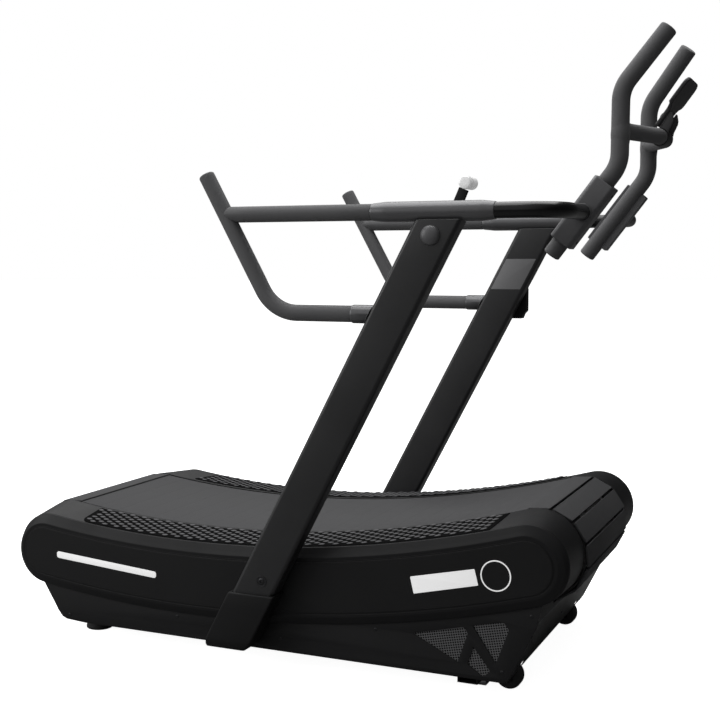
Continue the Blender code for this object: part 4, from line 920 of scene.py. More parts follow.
def perforated_sheet(y_out, y_in):
    """Square lattice of eight-sided holes, leaning with the vents."""
    origin = Vector((0.39, 0.03))
    along = Vector((cos(HOLE_LEAN), sin(HOLE_LEAN)))
    upward = Vector((-sin(HOLE_LEAN), cos(HOLE_LEAN)))

    def lattice(i, j):
        return origin + along * (i * HOLE_PITCH) + upward * (j * HOLE_PITCH)

    cells = {(i, j) for i in range(-10, 60) for j in range(-6, 34)
             if inside(lattice(i + 0.5, j + 0.5), MESH_SHEET)}
    bm = bmesh.new()
    shared = {}

    def vert(point, y):
        x, z = in_skirt([point])[0]
        return bm.verts.new(Vector((x, y, z)))

    def shared_vert(i, j, y):
        """Vertex at half-cell (i, j), used by all the cells that meet there."""
        if (i, j, y) not in shared:
            shared[i, j, y] = vert(lattice(i / 2, j / 2), y)
        return shared[i, j, y]

    square = [(0, 0), (1, 0), (2, 0), (2, 1), (2, 2), (1, 2), (0, 2), (0, 1)]
    neighbours = (((0, -1), (0, 1)), ((1, 0), (2, 3)), ((0, 1), (4, 5)), ((-1, 0), (6, 7)))
    for i, j in sorted(cells):
        centre = lattice(i + 0.5, j + 0.5)
        rims, holes = [], []
        for y in (y_out, y_in):
            rims.append([shared_vert(2 * i + di, 2 * j + dj, y) for di, dj in square])
            holes.append([vert(centre + along * HOLE_R * cos(angle)
                               + upward * HOLE_R * sin(angle), y)
                          for angle in (radians(-135 + 45 * k) for k in range(8))])
        (rim_out, rim_in), (hole_out, hole_in) = rims, holes
        for k in range(8):
            m = (k + 1) % 8
            bm.faces.new((rim_out[k], rim_out[m], hole_out[m], hole_out[k]))
            bm.faces.new((rim_in[m], rim_in[k], hole_in[k], hole_in[m]))
            bm.faces.new((hole_out[k], hole_out[m], hole_in[m], hole_in[k]))
        for (di, dj), sides in neighbours:
            if (i + di, j + dj) not in cells:
                for k in sides:
                    m = (k + 1) % 8
                    bm.faces.new((rim_out[m], rim_out[k], rim_in[k], rim_in[m]))
    return bm


def vent_backing(side, tag):
    """Perforated sheet behind the vents, and a black sheet behind it that paints the shade inside
    the base.
    """
    back = SKIRT_Y - SKIRT_T
    add("perforated_vent_" + tag, perforated_sheet(side * (back - 0.0005), side * (back - 0.0014)),
        MESH_METAL, "mesh_sheet", smooth=30, replaces="vent_mesh_" + tag)
    # painted shade: a black sheet where the inside of the base is only in shade
    add("painted_shade_sheet_" + tag,
        prism(in_skirt(MESH_SHEET), side * (back - 0.0022), side * (back - 0.0034)),
        PAINTED_SHADE_SHEET, "cover_black", smooth=30)


# --------------------------------------------------- front and rear end sheets
FLANGE = [(0.7103, 0.1925), (0.7124, 0.1925), (0.7085, 0.2140), (0.7030, 0.2330),
          (0.7005, 0.2330), (0.7060, 0.2140)]
WEB = [(0.585, 0.052), (0.634, 0.052), (0.698, 0.182), (0.700, 0.226), (0.640, 0.200),
       (0.585, 0.165)]
LIP = [(0.7168, 0.1985), (0.7188, 0.1985), (0.7178, 0.2090), (0.7160, 0.2090)]
FRONT_LOW, FRONT_HIGH = (0.638, 0.041), (0.707, 0.178)      # ends of the front slope
FRONT_SHEET = [FRONT_LOW, FRONT_HIGH, (0.7125, 0.193), (0.7105, 0.1935), (0.705, 0.179),
               (0.636, 0.042)]
REAR_SHEET = [(-0.6190, 0.0430), (-0.6330, 0.0485), (-0.6510, 0.0700), (-0.6665, 0.0960),
              (-0.6645, 0.0970), (-0.6490, 0.0712), (-0.6315, 0.0502), (-0.6182, 0.0450)]


def end_sheets():
    for side, tag in SIDES:
        add("front_flange_" + tag, prism(in_skirt(FLANGE), side * 0.2365, side * SKIRT_IN_Y),
            SKIRT_METAL, "frame_black", smooth=30)
        add("front_web_" + tag, prism(in_skirt(WEB), side * 0.2385, side * 0.2405),
            FRAME_PAINT, "frame_black", smooth=30)
    add("front_lip", prism(LIP, -0.2360, 0.2360), SKIRT_METAL, "frame_black", smooth=30)
    outline = round_poly(in_skirt(FRONT_SHEET), [0.0006, 0.02, 0.0006, 0.0006, 0.02, 0.0006], 4)
    front = add("front_sheet", prism(outline, -SKIRT_IN_Y, SKIRT_IN_Y), FRONT_METAL,
                "frame_black", smooth=30, replaces="front_panel")
    # notches for the wheels
    carve(front, [block(0.600, 0.680, side * 0.2562, side * 0.2980, 0.020, 0.073)
                  for side in (-1, 1)])
    outline = round_poly(in_skirt(REAR_SHEET),
                         [0.0006, 0.008, 0.02, 0.0006, 0.0006, 0.02, 0.008, 0.0006], 4)
    add("rear_sheet", prism(outline, -SKIRT_IN_Y, SKIRT_IN_Y), SKIRT_METAL, "frame_black",
        smooth=30, replaces="rear_panel")
    run, rise = FRONT_HIGH[0] - FRONT_LOW[0], FRONT_HIGH[1] - FRONT_LOW[1]
    # y, share of the way up the slope
    spots = ((-0.350, 0.22), (-0.350, 0.72), (0.350, 0.22), (0.350, 0.72), (0.0, 0.5))
    for i, (y, share) in enumerate(spots):
        x, z = in_skirt([(FRONT_LOW[0] + run * share, FRONT_LOW[1] + rise * share)])[0]
        put_screw("front_sheet_screw_%d" % (i + 1), (x, y, z),
                  Vector((rise, 0, -run)).normalized())


# ------------------------------------------------------------- feet and wheels
FOOT_X, FOOT_Y = -0.575, 0.270
WHEEL_X, WHEEL_Z, WHEEL_R, WHEEL_Y, WHEEL_W = 0.622, 0.0342, 0.0335, 0.277, 0.030


def rear_foot(side, tag):
    """Rubber pad, threaded stud and nut; profiles are (z, radius)."""
    pad = soften([(0.0, 0.010), (0.0, 0.0340), (0.0020, 0.0372), (0.0095, 0.0375),
                  (0.0160, 0.0250), (0.0205, 0.0160), (0.0215, 0.0120), (0.0215, 0.0080)], 0.0016)
    stud, z = [(0.0214, 0.0068)], 0.0216
    while z < 0.0830:
        stud += [(z, 0.0070), (z + 0.0006, 0.0079), (z + 0.0010, 0.0079)]
        z += 0.0016
    stud.append((0.0846, 0.0066))
    nut = [(0.0230, 0.0070), (0.0230, 0.0150), (0.0236, 0.0158), (0.0290, 0.0158),
           (0.0296, 0.0150), (0.0296, 0.0070)]

    def upright_turned(profile, count, closed=False):
        return turned(profile, (FOOT_X, side * FOOT_Y, 0), (0, 0, 1), (1, 0, 0), count, closed)

    body = "rear_foot_" + tag
    add("foot_pad_" + tag, upright_turned(pad, 72), FOOT_RUBBER, "foot_rubber", body=body,
        replaces=body)
    add("foot_stud_" + tag, upright_turned(stud, 32), ZINC, "zinc", body=body, smooth=30)
    add("foot_locknut_" + tag, upright_turned(nut, 6, closed=True), ZINC, "zinc", body=body,
        smooth=20)


def front_foot(side, tag):
    add("foot_plate_" + tag, block(0.498, 0.566, side * 0.2500, side * 0.2880, 0.0, 0.012),
        ZINC, "zinc", replaces="front_foot_" + tag, bevel=0.0014)
    add("foot_block_" + tag, block(0.5060, 0.5480, side * 0.2560, side * 0.2820, 0.0121, 0.0297),
        FRAME_PAINT, "zinc", bevel=0.0012)


def transport_wheel(side, tag):
    half = WHEEL_W / 2
    centre, body = (WHEEL_X, side * WHEEL_Y, WHEEL_Z), "transport_wheel_" + tag
    tyre = soften(mirrored([(half, 0.0145), (half, 0.0300), (half - 0.0035, WHEEL_R)]), 0.0018)
    add("wheel_tyre_" + tag, turned(tyre, centre, count=72, closed=True), FOOT_RUBBER,
        "foot_rubber", body=body, replaces=body)
    hub = mirrored([(half - 0.0012, 0.0056), (half - 0.0012, 0.0090), (half - 0.0050, 0.0098),
                    (half - 0.0050, 0.0143)])
    add("wheel_hub_" + tag, turned(hub, centre, count=48, closed=True), CHEEK_PLASTIC,
        "foot_rubber", body=body, smooth=30)


# -------------------------------------------------------------------- uprights
UPRIGHT_DIR = Vector((sin(LEAN), 0, cos(LEAN)))
UPRIGHT_NORMAL = Vector((cos(LEAN), 0, -sin(LEAN)))
# half length along x, inner |y|, outer |y|, z, corner radius
BOOT = [(0.0420, 0.4008, 0.4350, 0.0560, 0.002), (0.0450, 0.3990, 0.4390, 0.0560, 0.003),
        (0.0500, 0.3990, 0.4450, 0.0568, 0.004), (0.0540, 0.3990, 0.4505, 0.0590, 0.006),
        (0.0580, 0.3990, 0.4548, 0.0635, 0.008), (0.0604, 0.3990, 0.4578, 0.0695, 0.008),
        (0.0622, 0.3990, 0.4595, 0.0770, 0.007), (0.0634, 0.3990, 0.4600, 0.0840, 0.006),
        (0.0640, 0.3990, 0.4600, 0.0920, 0.006), (0.0640, 0.3990, 0.4600, 0.1200, 0.006),
        (0.0640, 0.3990, 0.4600, 0.1700, 0.006), (0.0640, 0.3990, 0.4600, 0.2035, 0.006),
        (0.0636, 0.3994, 0.4596, 0.2053, 0.0058), (0.0626, 0.4002, 0.4586, 0.2065, 0.0052),
        (0.0610, 0.4020, 0.4572, 0.2070, 0.0045), (0.0578, 0.4004, 0.4528, 0.2070, 0.003),
        (0.0574, 0.4008, 0.4524, 0.2064, 0.003), (0.0574, 0.4008, 0.4524, 0.1800, 0.003),
        (0.0574, 0.4008, 0.4524, 0.0835, 0.003)]


def rounded_rect(width, depth, r):
    points = []
    x, y = width / 2 - r, depth / 2 - r
    for cx, cy, start in ((x, y, 0), (-x, y, 90), (-x, -y, 180), (x, -y, 270)):
        for i in range(9):
            angle = radians(start + 90 * i / 8)
            points.append((cx + r * cos(angle), cy + r * sin(angle)))
    return points


def upright_axis(z):
    return Vector((UPRIGHT_X + (z - UPRIGHT_REF_Z) * tan(LEAN), 0, z))


def leaning_ring(width, depth, r, y, z, saddle=None):
    """Level section of the leaning tube; saddle is the radius scooped under the rail."""
    ring = []
    for fore, across in rounded_rect(width, depth, r):
        point = upright_axis(z) + UPRIGHT_NORMAL * fore
        point += UPRIGHT_DIR * ((z - point.z) / UPRIGHT_DIR.z)
        point = Vector((point.x, y + across, z))
        if saddle and abs(across) < saddle:
            low = RAIL_Z - sqrt(saddle ** 2 - across * across)
            if low < point.z:
                point += UPRIGHT_DIR * ((low - point.z) / UPRIGHT_DIR.z)
        ring.append(point)
    return ring


def upright(side, tag):
    y = side * UPRIGHT_Y
    # inset, corner radius, z
    stations = [(0.008, 0.007, UPRIGHT_BOTTOM), (0.001, 0.0095, UPRIGHT_BOTTOM)]
    stations += [(0.0, 0.010, UPRIGHT_BOTTOM + 0.001
                  + (UPRIGHT_TOP - 0.004 - UPRIGHT_BOTTOM) * i / 12) for i in range(13)]
    stations += [(0.0008, 0.0097, UPRIGHT_TOP - 0.0012), (0.0030, 0.009, UPRIGHT_TOP - 0.0002),
                 (0.0060, 0.008, UPRIGHT_TOP)]
    rings = [leaning_ring(UPRIGHT_W - inset, UPRIGHT_D - inset, r, y, z)
             for inset, r, z in stations]
    # the top is scooped for the rail sleeve
    for width, depth, r in ((0.070, 0.0300, 0.006), (0.040, 0.0150, 0.004),
                            (0.010, 0.0040, 0.001)):
        rings.append(leaning_ring(width, depth, r, y, UPRIGHT_TOP, saddle=SLEEVE_R + 0.0009))
    add("upright_tube_" + tag, skin(rings), UPRIGHT_PAINT, "upright_black", smooth=30,
        replaces="upright_" + tag)


def boot(side, tag):
    """Rounded casting round the foot of the upright."""
    rings = []
    for half, y0, y1, z, r in BOOT:
        x = upright_axis(z).x
        outline = round_poly([(x - half, side * y0), (x + half, side * y0),
                              (x + half, side * y1), (x - half, side * y1)], r, 5)
        rings.append([Vector((px, py, z)) for px, py in outline])
    add("boot_casting_" + tag, skin(rings), FRAME_PAINT, "frame_black", replaces="boot_" + tag)


def upright_bolt(side, tag):
    """Bolt in a countersunk ring."""
    at = (0.0385, side * (UPRIGHT_OUT_Y + 0.0001), 0.242)
    profile = [(0.0, 0.0086), (0.0004, 0.0138), (0.0010, 0.0141), (0.0013, 0.0137),
               (0.0013, 0.0120), (0.0008, 0.0114), (0.0008, 0.0086)]
    add("bolt_ring_" + tag, turned(profile, at, axis=(0, side, 0), closed=True), BOLT_STEEL,
        "turned_steel", smooth=30, replaces="upright_bolt_" + tag)
    put_screw("bolt_head_" + tag, at, (0, side, 0),
              mesh=screw_mesh("upright_bolt_head_" + tag, r=0.0083, height=0.0026))


# ------------------------------------------------------------------ hand rails
TUBE_R, FRONT_TUBE_X = 0.0185, 0.769
CLAMP_OUT_Y = 0.2235
POST_TIP = Vector((-0.121, 0, 1.239))
POST_DIR = Vector((0.486, 0, -0.874)).normalized()
POST_CORNER = POST_TIP + POST_DIR * ((POST_TIP.z - LOW_RAIL_Z) / -POST_DIR.z)
POST_BEND = 0.105


def post_x(z):
    return POST_TIP.x + POST_DIR.x * (POST_TIP.z - z) / -POST_DIR.z


def rear_face_x(z):
    """Just behind the upright's rear face."""
    return upright_axis(z).x - UPRIGHT_W / 2 / cos(LEAN) - 0.0004


def rail_ring(x, r, side, rail_z):
    """Ring of a fore-and-aft rail; x is a value or a function of (across, z)."""
    return [Vector((x(i, rail_z + j) if callable(x) else x, side * UPRIGHT_Y + i, rail_z + j))
            for i, j in circle(56, r)]


def rear_post(side, tag):
    """Padded post that bends forward into the low rail."""
    shift = Vector((0, side * UPRIGHT_Y, 0))
    path = fillet_path([POST_TIP + shift, POST_CORNER + shift,
                        Vector((0.2740, 0, LOW_RAIL_Z)) + shift], [POST_BEND])
    add("post_foam_" + tag, tube(path, POST_FOAM_R, soft=(0.0045, 0.0012)), FOAM, "foam",
        replaces="post_grip_" + tag)


def low_collar(side, tag):
    """Collar between the low rail and the upright, with its weld."""
    stations = ((0.2742, 0.0180), (0.2742, 0.0205), (0.2746, 0.0214), (0.2756, 0.0220),
                (0.2785, 0.0222), (0.2850, 0.0222),
                (lambda across, z: rear_face_x(z) - 0.0004, 0.0222),
                (lambda across, z: rear_face_x(z), 0.0219))
    add("collar_turned_" + tag, skin([rail_ring(x, r, side, LOW_RAIL_Z) for x, r in stations]),
        SATIN_PAINT, "satin_grey", replaces="lower_collar_" + tag)

    def point_at(angle):
        across, up = 0.0226 * cos(angle), 0.0226 * sin(angle)
        return (Vector((rear_face_x(LOW_RAIL_Z + up) - 0.0006, side * UPRIGHT_Y + across,
                        LOW_RAIL_Z + up)), Vector((0, cos(angle), sin(angle))))
    bead = weld_bead(count=72, sides=8, radius=0.0011, ripples=((9, 0.00012), (23, 0.00008)),
                     point_at=point_at, along=Vector((-1, 0, 0)))
    add("collar_weld_" + tag, bead, SATIN_PAINT, "satin_grey", smooth=60)


def upper_rail(side, tag):
    """Padding coped to the post, sleeve over the upright, and bent front tube."""
    rings = []
    for lift, r in ((0.0004, FOAM_R - 0.0010), (0.0010, FOAM_R - 0.0002), (0.0022, FOAM_R)):
        def coped_x(across, z):
            post_half = sqrt(max(POST_FOAM_R ** 2 - across * across, 0.0))
            return post_x(z) + post_half / -POST_DIR.z + lift
        rings.append(rail_ring(coped_x, r, side, RAIL_Z))
    for x, r in ((0.02, FOAM_R), (0.10, FOAM_R), (0.20, FOAM_R), (0.3215, FOAM_R),
                 (0.3230, FOAM_R - 0.0004), (0.3236, FOAM_R - 0.0014)):
        rings.append(rail_ring(x, r, side, RAIL_Z))
    add("rail_foam_" + tag, skin(rings), FOAM, "foam", replaces="rail_grip_" + tag)

    y = side * UPRIGHT_Y
    sleeve = soften([(0.3242, 0.0186), (0.3242, 0.0201), (0.3585, SLEEVE_R), (0.5905, SLEEVE_R),
                     (0.6218, 0.0201), (0.6218, 0.0190)], 0.0060, 6)
    add("sleeve_turned_" + tag, turned(sleeve, (0, y, RAIL_Z), axis=(1, 0, 0), closed=True),
        SATIN_PAINT, "satin_grey", replaces="rail_sleeve_" + tag)

    path = fillet_path([(0.3300, y, RAIL_Z), (FRONT_TUBE_X, y, RAIL_Z),
                        (FRONT_TUBE_X, side * (CLAMP_OUT_Y + 0.0004), RAIL_Z)], [0.085])
    add("front_tube_bent_" + tag, tube(path, TUBE_R), GLOSS_PAINT, "gloss_black",
        replaces="front_tube_" + tag)

    def point_at(angle):
        outward = Vector((cos(angle), 0, sin(angle)))
        centre = Vector((FRONT_TUBE_X, side * (CLAMP_OUT_Y + 0.0014), RAIL_Z))
        return centre + outward * (TUBE_R + 0.0008), outward
    bead = weld_bead(count=84, sides=10, radius=0.0019, ripples=((11, 0.00016), (29, 0.0001)),
                     point_at=point_at, along=Vector((0, side, 0)))
    add("tube_weld_" + tag, bead, CLAMP_PAINT, "satin_grey", smooth=60)


# --------------------------------------------------- front handles, cross bar
HANDLE_R, HANDLE_Y = 0.0202, 0.1885
# corners of the handle from bottom to top, and the |y| of each
HANDLE_POINTS = [Vector((0.687, 0, 1.042)), Vector((0.8465, 0, 1.2515)),
                 Vector((0.8465, 0, 1.4265)), Vector((0.9485, 0, 1.5635))]
HANDLE_YS = [HANDLE_Y, HANDLE_Y, 0.183, 0.154]
HANDLE_FOOT, HANDLE_BEND, HANDLE_UPPER = HANDLE_POINTS[:3]
HANDLE_DIR = (HANDLE_BEND - HANDLE_FOOT).normalized()
HANDLE_NORMAL = Vector((HANDLE_DIR.z, 0, -HANDLE_DIR.x))
BAR_R, BAR_HALF = 0.019, 0.055
JOINT_Z = BAR_Z + 0.003
JOINT_Y = HANDLE_Y + (HANDLE_YS[2] - HANDLE_Y) * (
    (JOINT_Z - HANDLE_BEND.z) / (HANDLE_UPPER.z - HANDLE_BEND.z))
# outer half of the clamp's section: along HANDLE_NORMAL, |y|
CLAMP_MID_Y, CLAMP_NOTCH_R = 0.1800, 0.0212
CLAMP_SECTION = [(0.0335, CLAMP_MID_Y), (0.0335, CLAMP_OUT_Y - 0.0070), (0.0265, CLAMP_OUT_Y),
                 (-0.0192, CLAMP_OUT_Y), (-0.0262, CLAMP_OUT_Y - 0.0070), (-0.0262, CLAMP_MID_Y)]
# distance along the handle, inset
CLAMP_STATIONS = ((0.0415, 0.0024), (0.0418, 0.0014), (0.0424, 0.0006), (0.0435, 0.0),
                  (0.0900, 0.0), (0.1280, 0.0), (0.1700, 0.0), (0.2125, 0.0),
                  (0.2136, 0.0006), (0.2142, 0.0014), (0.2145, 0.0024))


def clamp_block(side, tag):
    """Block that takes the outer half of the handle."""
    outer = soften(CLAMP_SECTION, 0.0045, 5)
    start = asin((HANDLE_Y - CLAMP_MID_Y) / CLAMP_NOTCH_R)
    notch = []
    for i in range(25):
        angle = pi + start - (pi + 2 * start) * i / 24
        notch.append(Vector((CLAMP_NOTCH_R * cos(angle), HANDLE_Y + CLAMP_NOTCH_R * sin(angle))))
    rings = []
    for along, inset in CLAMP_STATIONS:
        ring = []
        for i, (fore, y) in enumerate(outer + notch):
            if i < len(outer):
                fore -= copysign(inset, fore) if abs(fore) > 0.022 else 0
                y -= inset if y > CLAMP_OUT_Y - 0.006 else 0
            ring.append(HANDLE_FOOT + HANDLE_DIR * along + HANDLE_NORMAL * fore
                        + Vector((0, side * y, 0)))
        rings.append(ring)
    add("clamp_block_" + tag, skin(rings), CLAMP_PAINT, "satin_grey", smooth=35,
        replaces="handle_clamp_" + tag)
    for i, along in enumerate((0.062, 0.196)):
        at = HANDLE_FOOT + HANDLE_DIR * along + Vector((0, side * 0.1995, 0))
        put_screw("clamp_screw_%s_%d" % (tag, i + 1), at + HANDLE_NORMAL * 0.0334,
                  HANDLE_NORMAL)


def front_handle(side, tag):
    points = [p + Vector((0, side * y, 0)) for p, y in zip(HANDLE_POINTS, HANDLE_YS)]
    path = fillet_path(points, [0.080, 0.085])
    add("handle_foam_" + tag, tube(path, HANDLE_R + 0.0010, soft=(0.0048, 0.0048)), FOAM, "foam",
        replaces="handle_" + tag)
    clamp_block(side, tag)
    # swelling where the cross bar meets the handle
    profile = []
    for i in range(17):
        share = -1 + 2 * i / 16
        profile.append((0.034 * share, HANDLE_R - 0.0006 + 0.0030 * (1 - share * share) ** 2))
    bm = turned(profile, (HANDLE_BEND.x + 0.0006, side * JOINT_Y, BAR_Z - 0.006),
                (0, 0, 1), (1, 0, 0), count=56)
    add("handle_swell_" + tag, bm, FOAM, "foam", smooth=50)


def cross_bar():
    def flare(run, total):
        from_end = min(run, total - run)
        return 1.0 + 0.10 * max(0.0, 1 - max(from_end - 0.010, 0) / 0.022) ** 2

    ends, knees = [], []
    for side in (-1, 1):
        joint = Vector((HANDLE_BEND.x, side * JOINT_Y, JOINT_Z))
        knee = Vector((BAR_X, side * BAR_HALF, BAR_Z))
        ends.append(joint + (knee - joint).normalized() * (HANDLE_R * 0.4))
        knees.append(knee)
    path = fillet_path([ends[0], knees[0], knees[1], ends[1]], [0.045, 0.045])
    add("cross_bar_foam", tube(path, BAR_R, swell=flare), FOAM, "foam", replaces="cross_bar")


# -------------------------------------------------------------- lever and hook
LEVER_AT, KNOB_AT, KNOB_R = Vector((0.480, 0, 1.086)), Vector((0.532, 0, 1.208)), 0.0152


def lever():
    """Dome on the right upright; bar, hub and knob just inside it."""
    dome = [(0.0, 0.0232), (0.0004, 0.0233), (0.0010, 0.0231)]
    for i in range(13):
        angle = radians(7 + 83 * i / 12)
        dome.append((0.0010 + 0.0096 * sin(angle),
                     0.0227 * cos(angle) ** 0.85 if i < 12 else 0.0012))
    at = (LEVER_AT.x - 0.0045, -(UPRIGHT_OUT_Y + 0.0002), LEVER_AT.z)
    add("pivot_dome", turned(dome, at, axis=(0, -1, 0), count=72), CLAMP_PAINT, "cover_black",
        replaces="pivot_cap")

    along = (KNOB_AT - LEVER_AT).normalized()
    across = Vector((along.z, 0, -along.x))
    end = (KNOB_AT - LEVER_AT).length - KNOB_R - 0.0004
    corners = [LEVER_AT + along * run + across * half for run, half in (
        (-0.012, -0.0128), (end, -0.0118), (end, 0.0118), (-0.012, 0.0128))]
    add("lever_bar", prism([(p.x, p.z) for p in corners], -0.3679, -0.3601), FRAME_PAINT,
        "frame_black", body="resistance_lever", replaces="lever_arm", bevel=0.0014)

    hub = soften([(-0.4010, 0.004), (-0.4010, 0.0168), (-0.3600, 0.0168), (-0.3590, 0.0120),
                  (-0.3590, 0.004)], 0.0012)
    add("lever_hub", turned(hub, LEVER_AT, count=56), FRAME_PAINT, "frame_black",
        body="resistance_lever", smooth=35)

    knob = mirrored([(0.0290, 0.0060), (0.0290, 0.0122), (0.0282, 0.0139), (0.0268, 0.0149),
                     (0.0250, KNOB_R), (0.0030, KNOB_R), (0.0024, 0.0147)])
    add("knob_turned", turned(knob, (KNOB_AT.x, -0.3510, KNOB_AT.z)), KNOB_METAL, "knob_bright",
        body="resistance_lever", replaces="lever_knob")


def hook():
    """Small box on the left upright, with a slot in its outer face."""
    y0, y1 = UPRIGHT_OUT_Y + 0.0004, UPRIGHT_OUT_Y + 0.030
    outline = round_poly([(0.395, 0.857), (0.435, 0.857), (0.440, 0.870), (0.449, 0.880),
                          (0.449, 0.946), (0.440, 0.953), (0.405, 0.950)], 0.003, 4)
    slot = round_poly([(0.4080, 0.8960), (0.4400, 0.8960), (0.4400, 0.9030), (0.4080, 0.9030)],
                      0.0034, 5)
    add("hook_case", sheet(outline, y1, 0.010, 1, 0.0012, holes=[slot]), FRAME_PAINT,
        "frame_black", replaces="accessory_hook")
    add("hook_body", sheet(outline, y1 - 0.0102, (y1 - y0) - 0.0102, 1, 0.0010), FRAME_PAINT,
        "frame_black")


# --------------------------------------------------------------------- console
# The face leans: CONSOLE_UP runs up along it, CONSOLE_IN into the case.
CONSOLE_ORIGIN = Vector((0.900, 0, 1.360))
CONSOLE_UP = Vector((0.594, 0, 0.805)).normalized()
CONSOLE_IN = Vector((0.805, 0, -0.594)).normalized()
# half outline of the panel: distance up the face, |y|, corner radius
PANEL_HALF = [(-0.0030, 0.043, 0.005), (0.0450, 0.043, 0.012), (0.0540, 0.052, 0.010),
              (0.0600, 0.068, 0.010), (0.0690, 0.075, 0.008), (0.1110, 0.075, 0.010),
              (0.1220, 0.071, 0.008), (0.1290, 0.060, 0.008), (0.1310, 0.048, 0.010)]
KEY_UP, KEY_YS = 0.024, (-0.026, 0.0, 0.026)
# side view of the housing: distance up the face, depth into the case
HOUSING = round_poly([(-0.0030, 0.0127), (0.0490, 0.0127), (0.0480, 0.0175), (0.0360, 0.0300),
                      (0.0280, 0.0345), (0.0040, 0.0395), (-0.0120, 0.0470), (-0.0200, 0.0470),
                      (-0.0180, 0.0300)],
                     [0.002, 0.003, 0.004, 0.008, 0.008, 0.012, 0.006, 0.003, 0.006], 5)


def console_point(up, depth, y=0.0):
    point = CONSOLE_ORIGIN + CONSOLE_UP * up + CONSOLE_IN * depth
    return Vector((point.x, y, point.z))


def inset_outline(outline, inset):
    """Closed 2D outline with each point moved inwards."""
    points = [Vector(p) for p in outline]
    loop = list(zip(points[-1:] + points[:-1], points, points[1:] + points[:1]))
    area = sum(p.x * after.y - after.x * p.y for _, p, after in loop)
    moved = []
    for before, point, after in loop:
        along = (point - before).normalized() + (after - point).normalized()
        outward = Vector((along.y, -along.x)).normalized()
        moved.append(point - (outward if area > 0 else -outward) * inset)
    return moved


def slab(outline, depth0, depth1, edge, steps=4):
    """Plate in the plane of the face, with rounded rims; the outline is (up, y)."""
    rim = [(edge * (1 - sin(angle)), edge * (1 - cos(angle)))
           for angle in (pi / 2 * i / steps for i in range(steps + 1))]
    stations = ([(depth0 + step, inset) for step, inset in rim[::-1]]
                + [(depth1 - step, inset) for step, inset in rim])
    return skin([[console_point(p.x, depth, p.y) for p in inset_outline(outline, inset)]
                 for depth, inset in stations])


def housing_layer(profile, y0, y1, edge):
    """Layer between two Y planes, rims rounded; the profile is (up, depth)."""
    stations = ((y0, edge), (y0 + edge * 0.3, edge * 0.3), (y0 + edge, 0),
                (y1 - edge, 0), (y1 - edge * 0.3, edge * 0.3), (y1, edge))
    return skin([[console_point(p.x, p.y, y) for p in inset_outline(profile, inset)]
                 for y, inset in stations])


def bore(ob, r):
    """Cut a console piece away round the cross bar."""
    tool = turned([(-0.060, r), (0.060, r)], (BAR_X, 0, BAR_Z))
    use_first_slot(carve(ob, [tool]))


def on_face(profile, depth, y, count, closed=False):
    """Turned piece set into the face, its profile running inwards."""
    return turned(profile, console_point(KEY_UP, depth, y), CONSOLE_IN, (0, 1, 0), count, closed)


def console_panel():
    outline = round_poly([(up, -y) for up, y, r in PANEL_HALF]
                         + [(up, y) for up, y, r in PANEL_HALF[::-1]],
                         [r for up, y, r in PANEL_HALF + PANEL_HALF[::-1]], 6)
    panel = add("console_slab", slab(outline, 0.0018, 0.0121, 0.0032), CONSOLE_PLASTIC,
                "console_black", body="console", replaces="console_panel")
    wells = [on_face([(-0.010, 0.0072), (0.0085, 0.0072)], 0.0, y, 40) for y in KEY_YS]
    use_first_slot(carve(panel, wells))
    window = round_poly([(0.059, -0.063), (0.119, -0.063), (0.119, 0.063), (0.059, 0.063)],
                        0.005, 6)
    add("console_window", slab(window, -0.0001, 0.0017, 0.0006, 3), SCREEN, "screen",
        body="console", replaces="console_screen")


def console_key(i, y):
    """Round key with a raised mark: a dot, a small ring or a ring."""
    body = "console_button_%d" % (i + 1)
    profile = soften([(-0.0016, 0.002), (-0.0016, 0.0052), (-0.0008, 0.0064), (0.0055, 0.0064),
                      (0.0055, 0.002)], 0.0010)
    add("key_%d" % (i + 1), on_face(profile, 0.0, y, 48), KEY_RUBBER, "button", body=body,
        replaces=body)
    if i == 0:
        profile = [(-0.0003, 0.0004), (-0.0003, 0.0020), (0.0002, 0.0022), (0.0002, 0.0004)]
        mark = on_face(profile, -0.0016, y, 24)
    else:
        r = 0.0012 if i == 1 else 0.0022
        profile = [(-0.0003, r), (-0.0003, r + 0.0009), (0.0002, r + 0.0010), (0.0002, r)]
        mark = on_face(profile, -0.0016, y, 32, closed=True)
    add("key_mark_%d" % (i + 1), mark, MARK_PAINT, "button", body=body)


def console_housing():
    case = add("console_case", housing_layer(HOUSING, -0.0352, 0.0352, 0.0030), CONSOLE_PLASTIC,
               "console_black", body="console", replaces="console_housing")
    bore(case, 0.0199)
    # each cheek is the housing's side view, scaled down
    small = [((up - 0.016) * 0.90 + 0.016, (depth - 0.026) * 0.88 + 0.0262)
             for up, depth in HOUSING]
    for side, tag in SIDES:
        y0, y1 = sorted((side * 0.0345, side * 0.0400))
        cheek = add("console_cheek_" + tag, housing_layer(small, y0, y1, 0.0018), CHEEK_PLASTIC,
                    "console_black", body="console")
        bore(cheek, 0.0216)
    collar = mirrored([(0.0345, 0.0197), (0.0345, 0.0212), (0.0339, 0.0217)])
    add("console_collar", turned(collar, (BAR_X, 0, BAR_Z), closed=True), CONSOLE_PLASTIC,
        "console_black", body="console")


# ----------------------------------------------------------------------- films
FILM_T, PLATE_Y = 0.0003, 0.3973        # film thickness, outer face of the side plates
RING_X, RING_Z, RING_R, RING_W = 0.6206, 0.3045, 0.0368, 0.0030
LABEL = [(0.4092, 0.2805), (0.5691, 0.3154), (0.5787, 0.2774), (0.4185, 0.2401)]
BAR_LABEL = [(-0.6199, 0.2414), (-0.3029, 0.2166), (-0.3032, 0.1992), (-0.6204, 0.2233)]


def film(name, outline, y, side, mat, holes=()):
    add(name, sheet(outline, y + side * FILM_T, FILM_T, side, 0.00005, holes), mat,
        "plate_black", smooth=30)


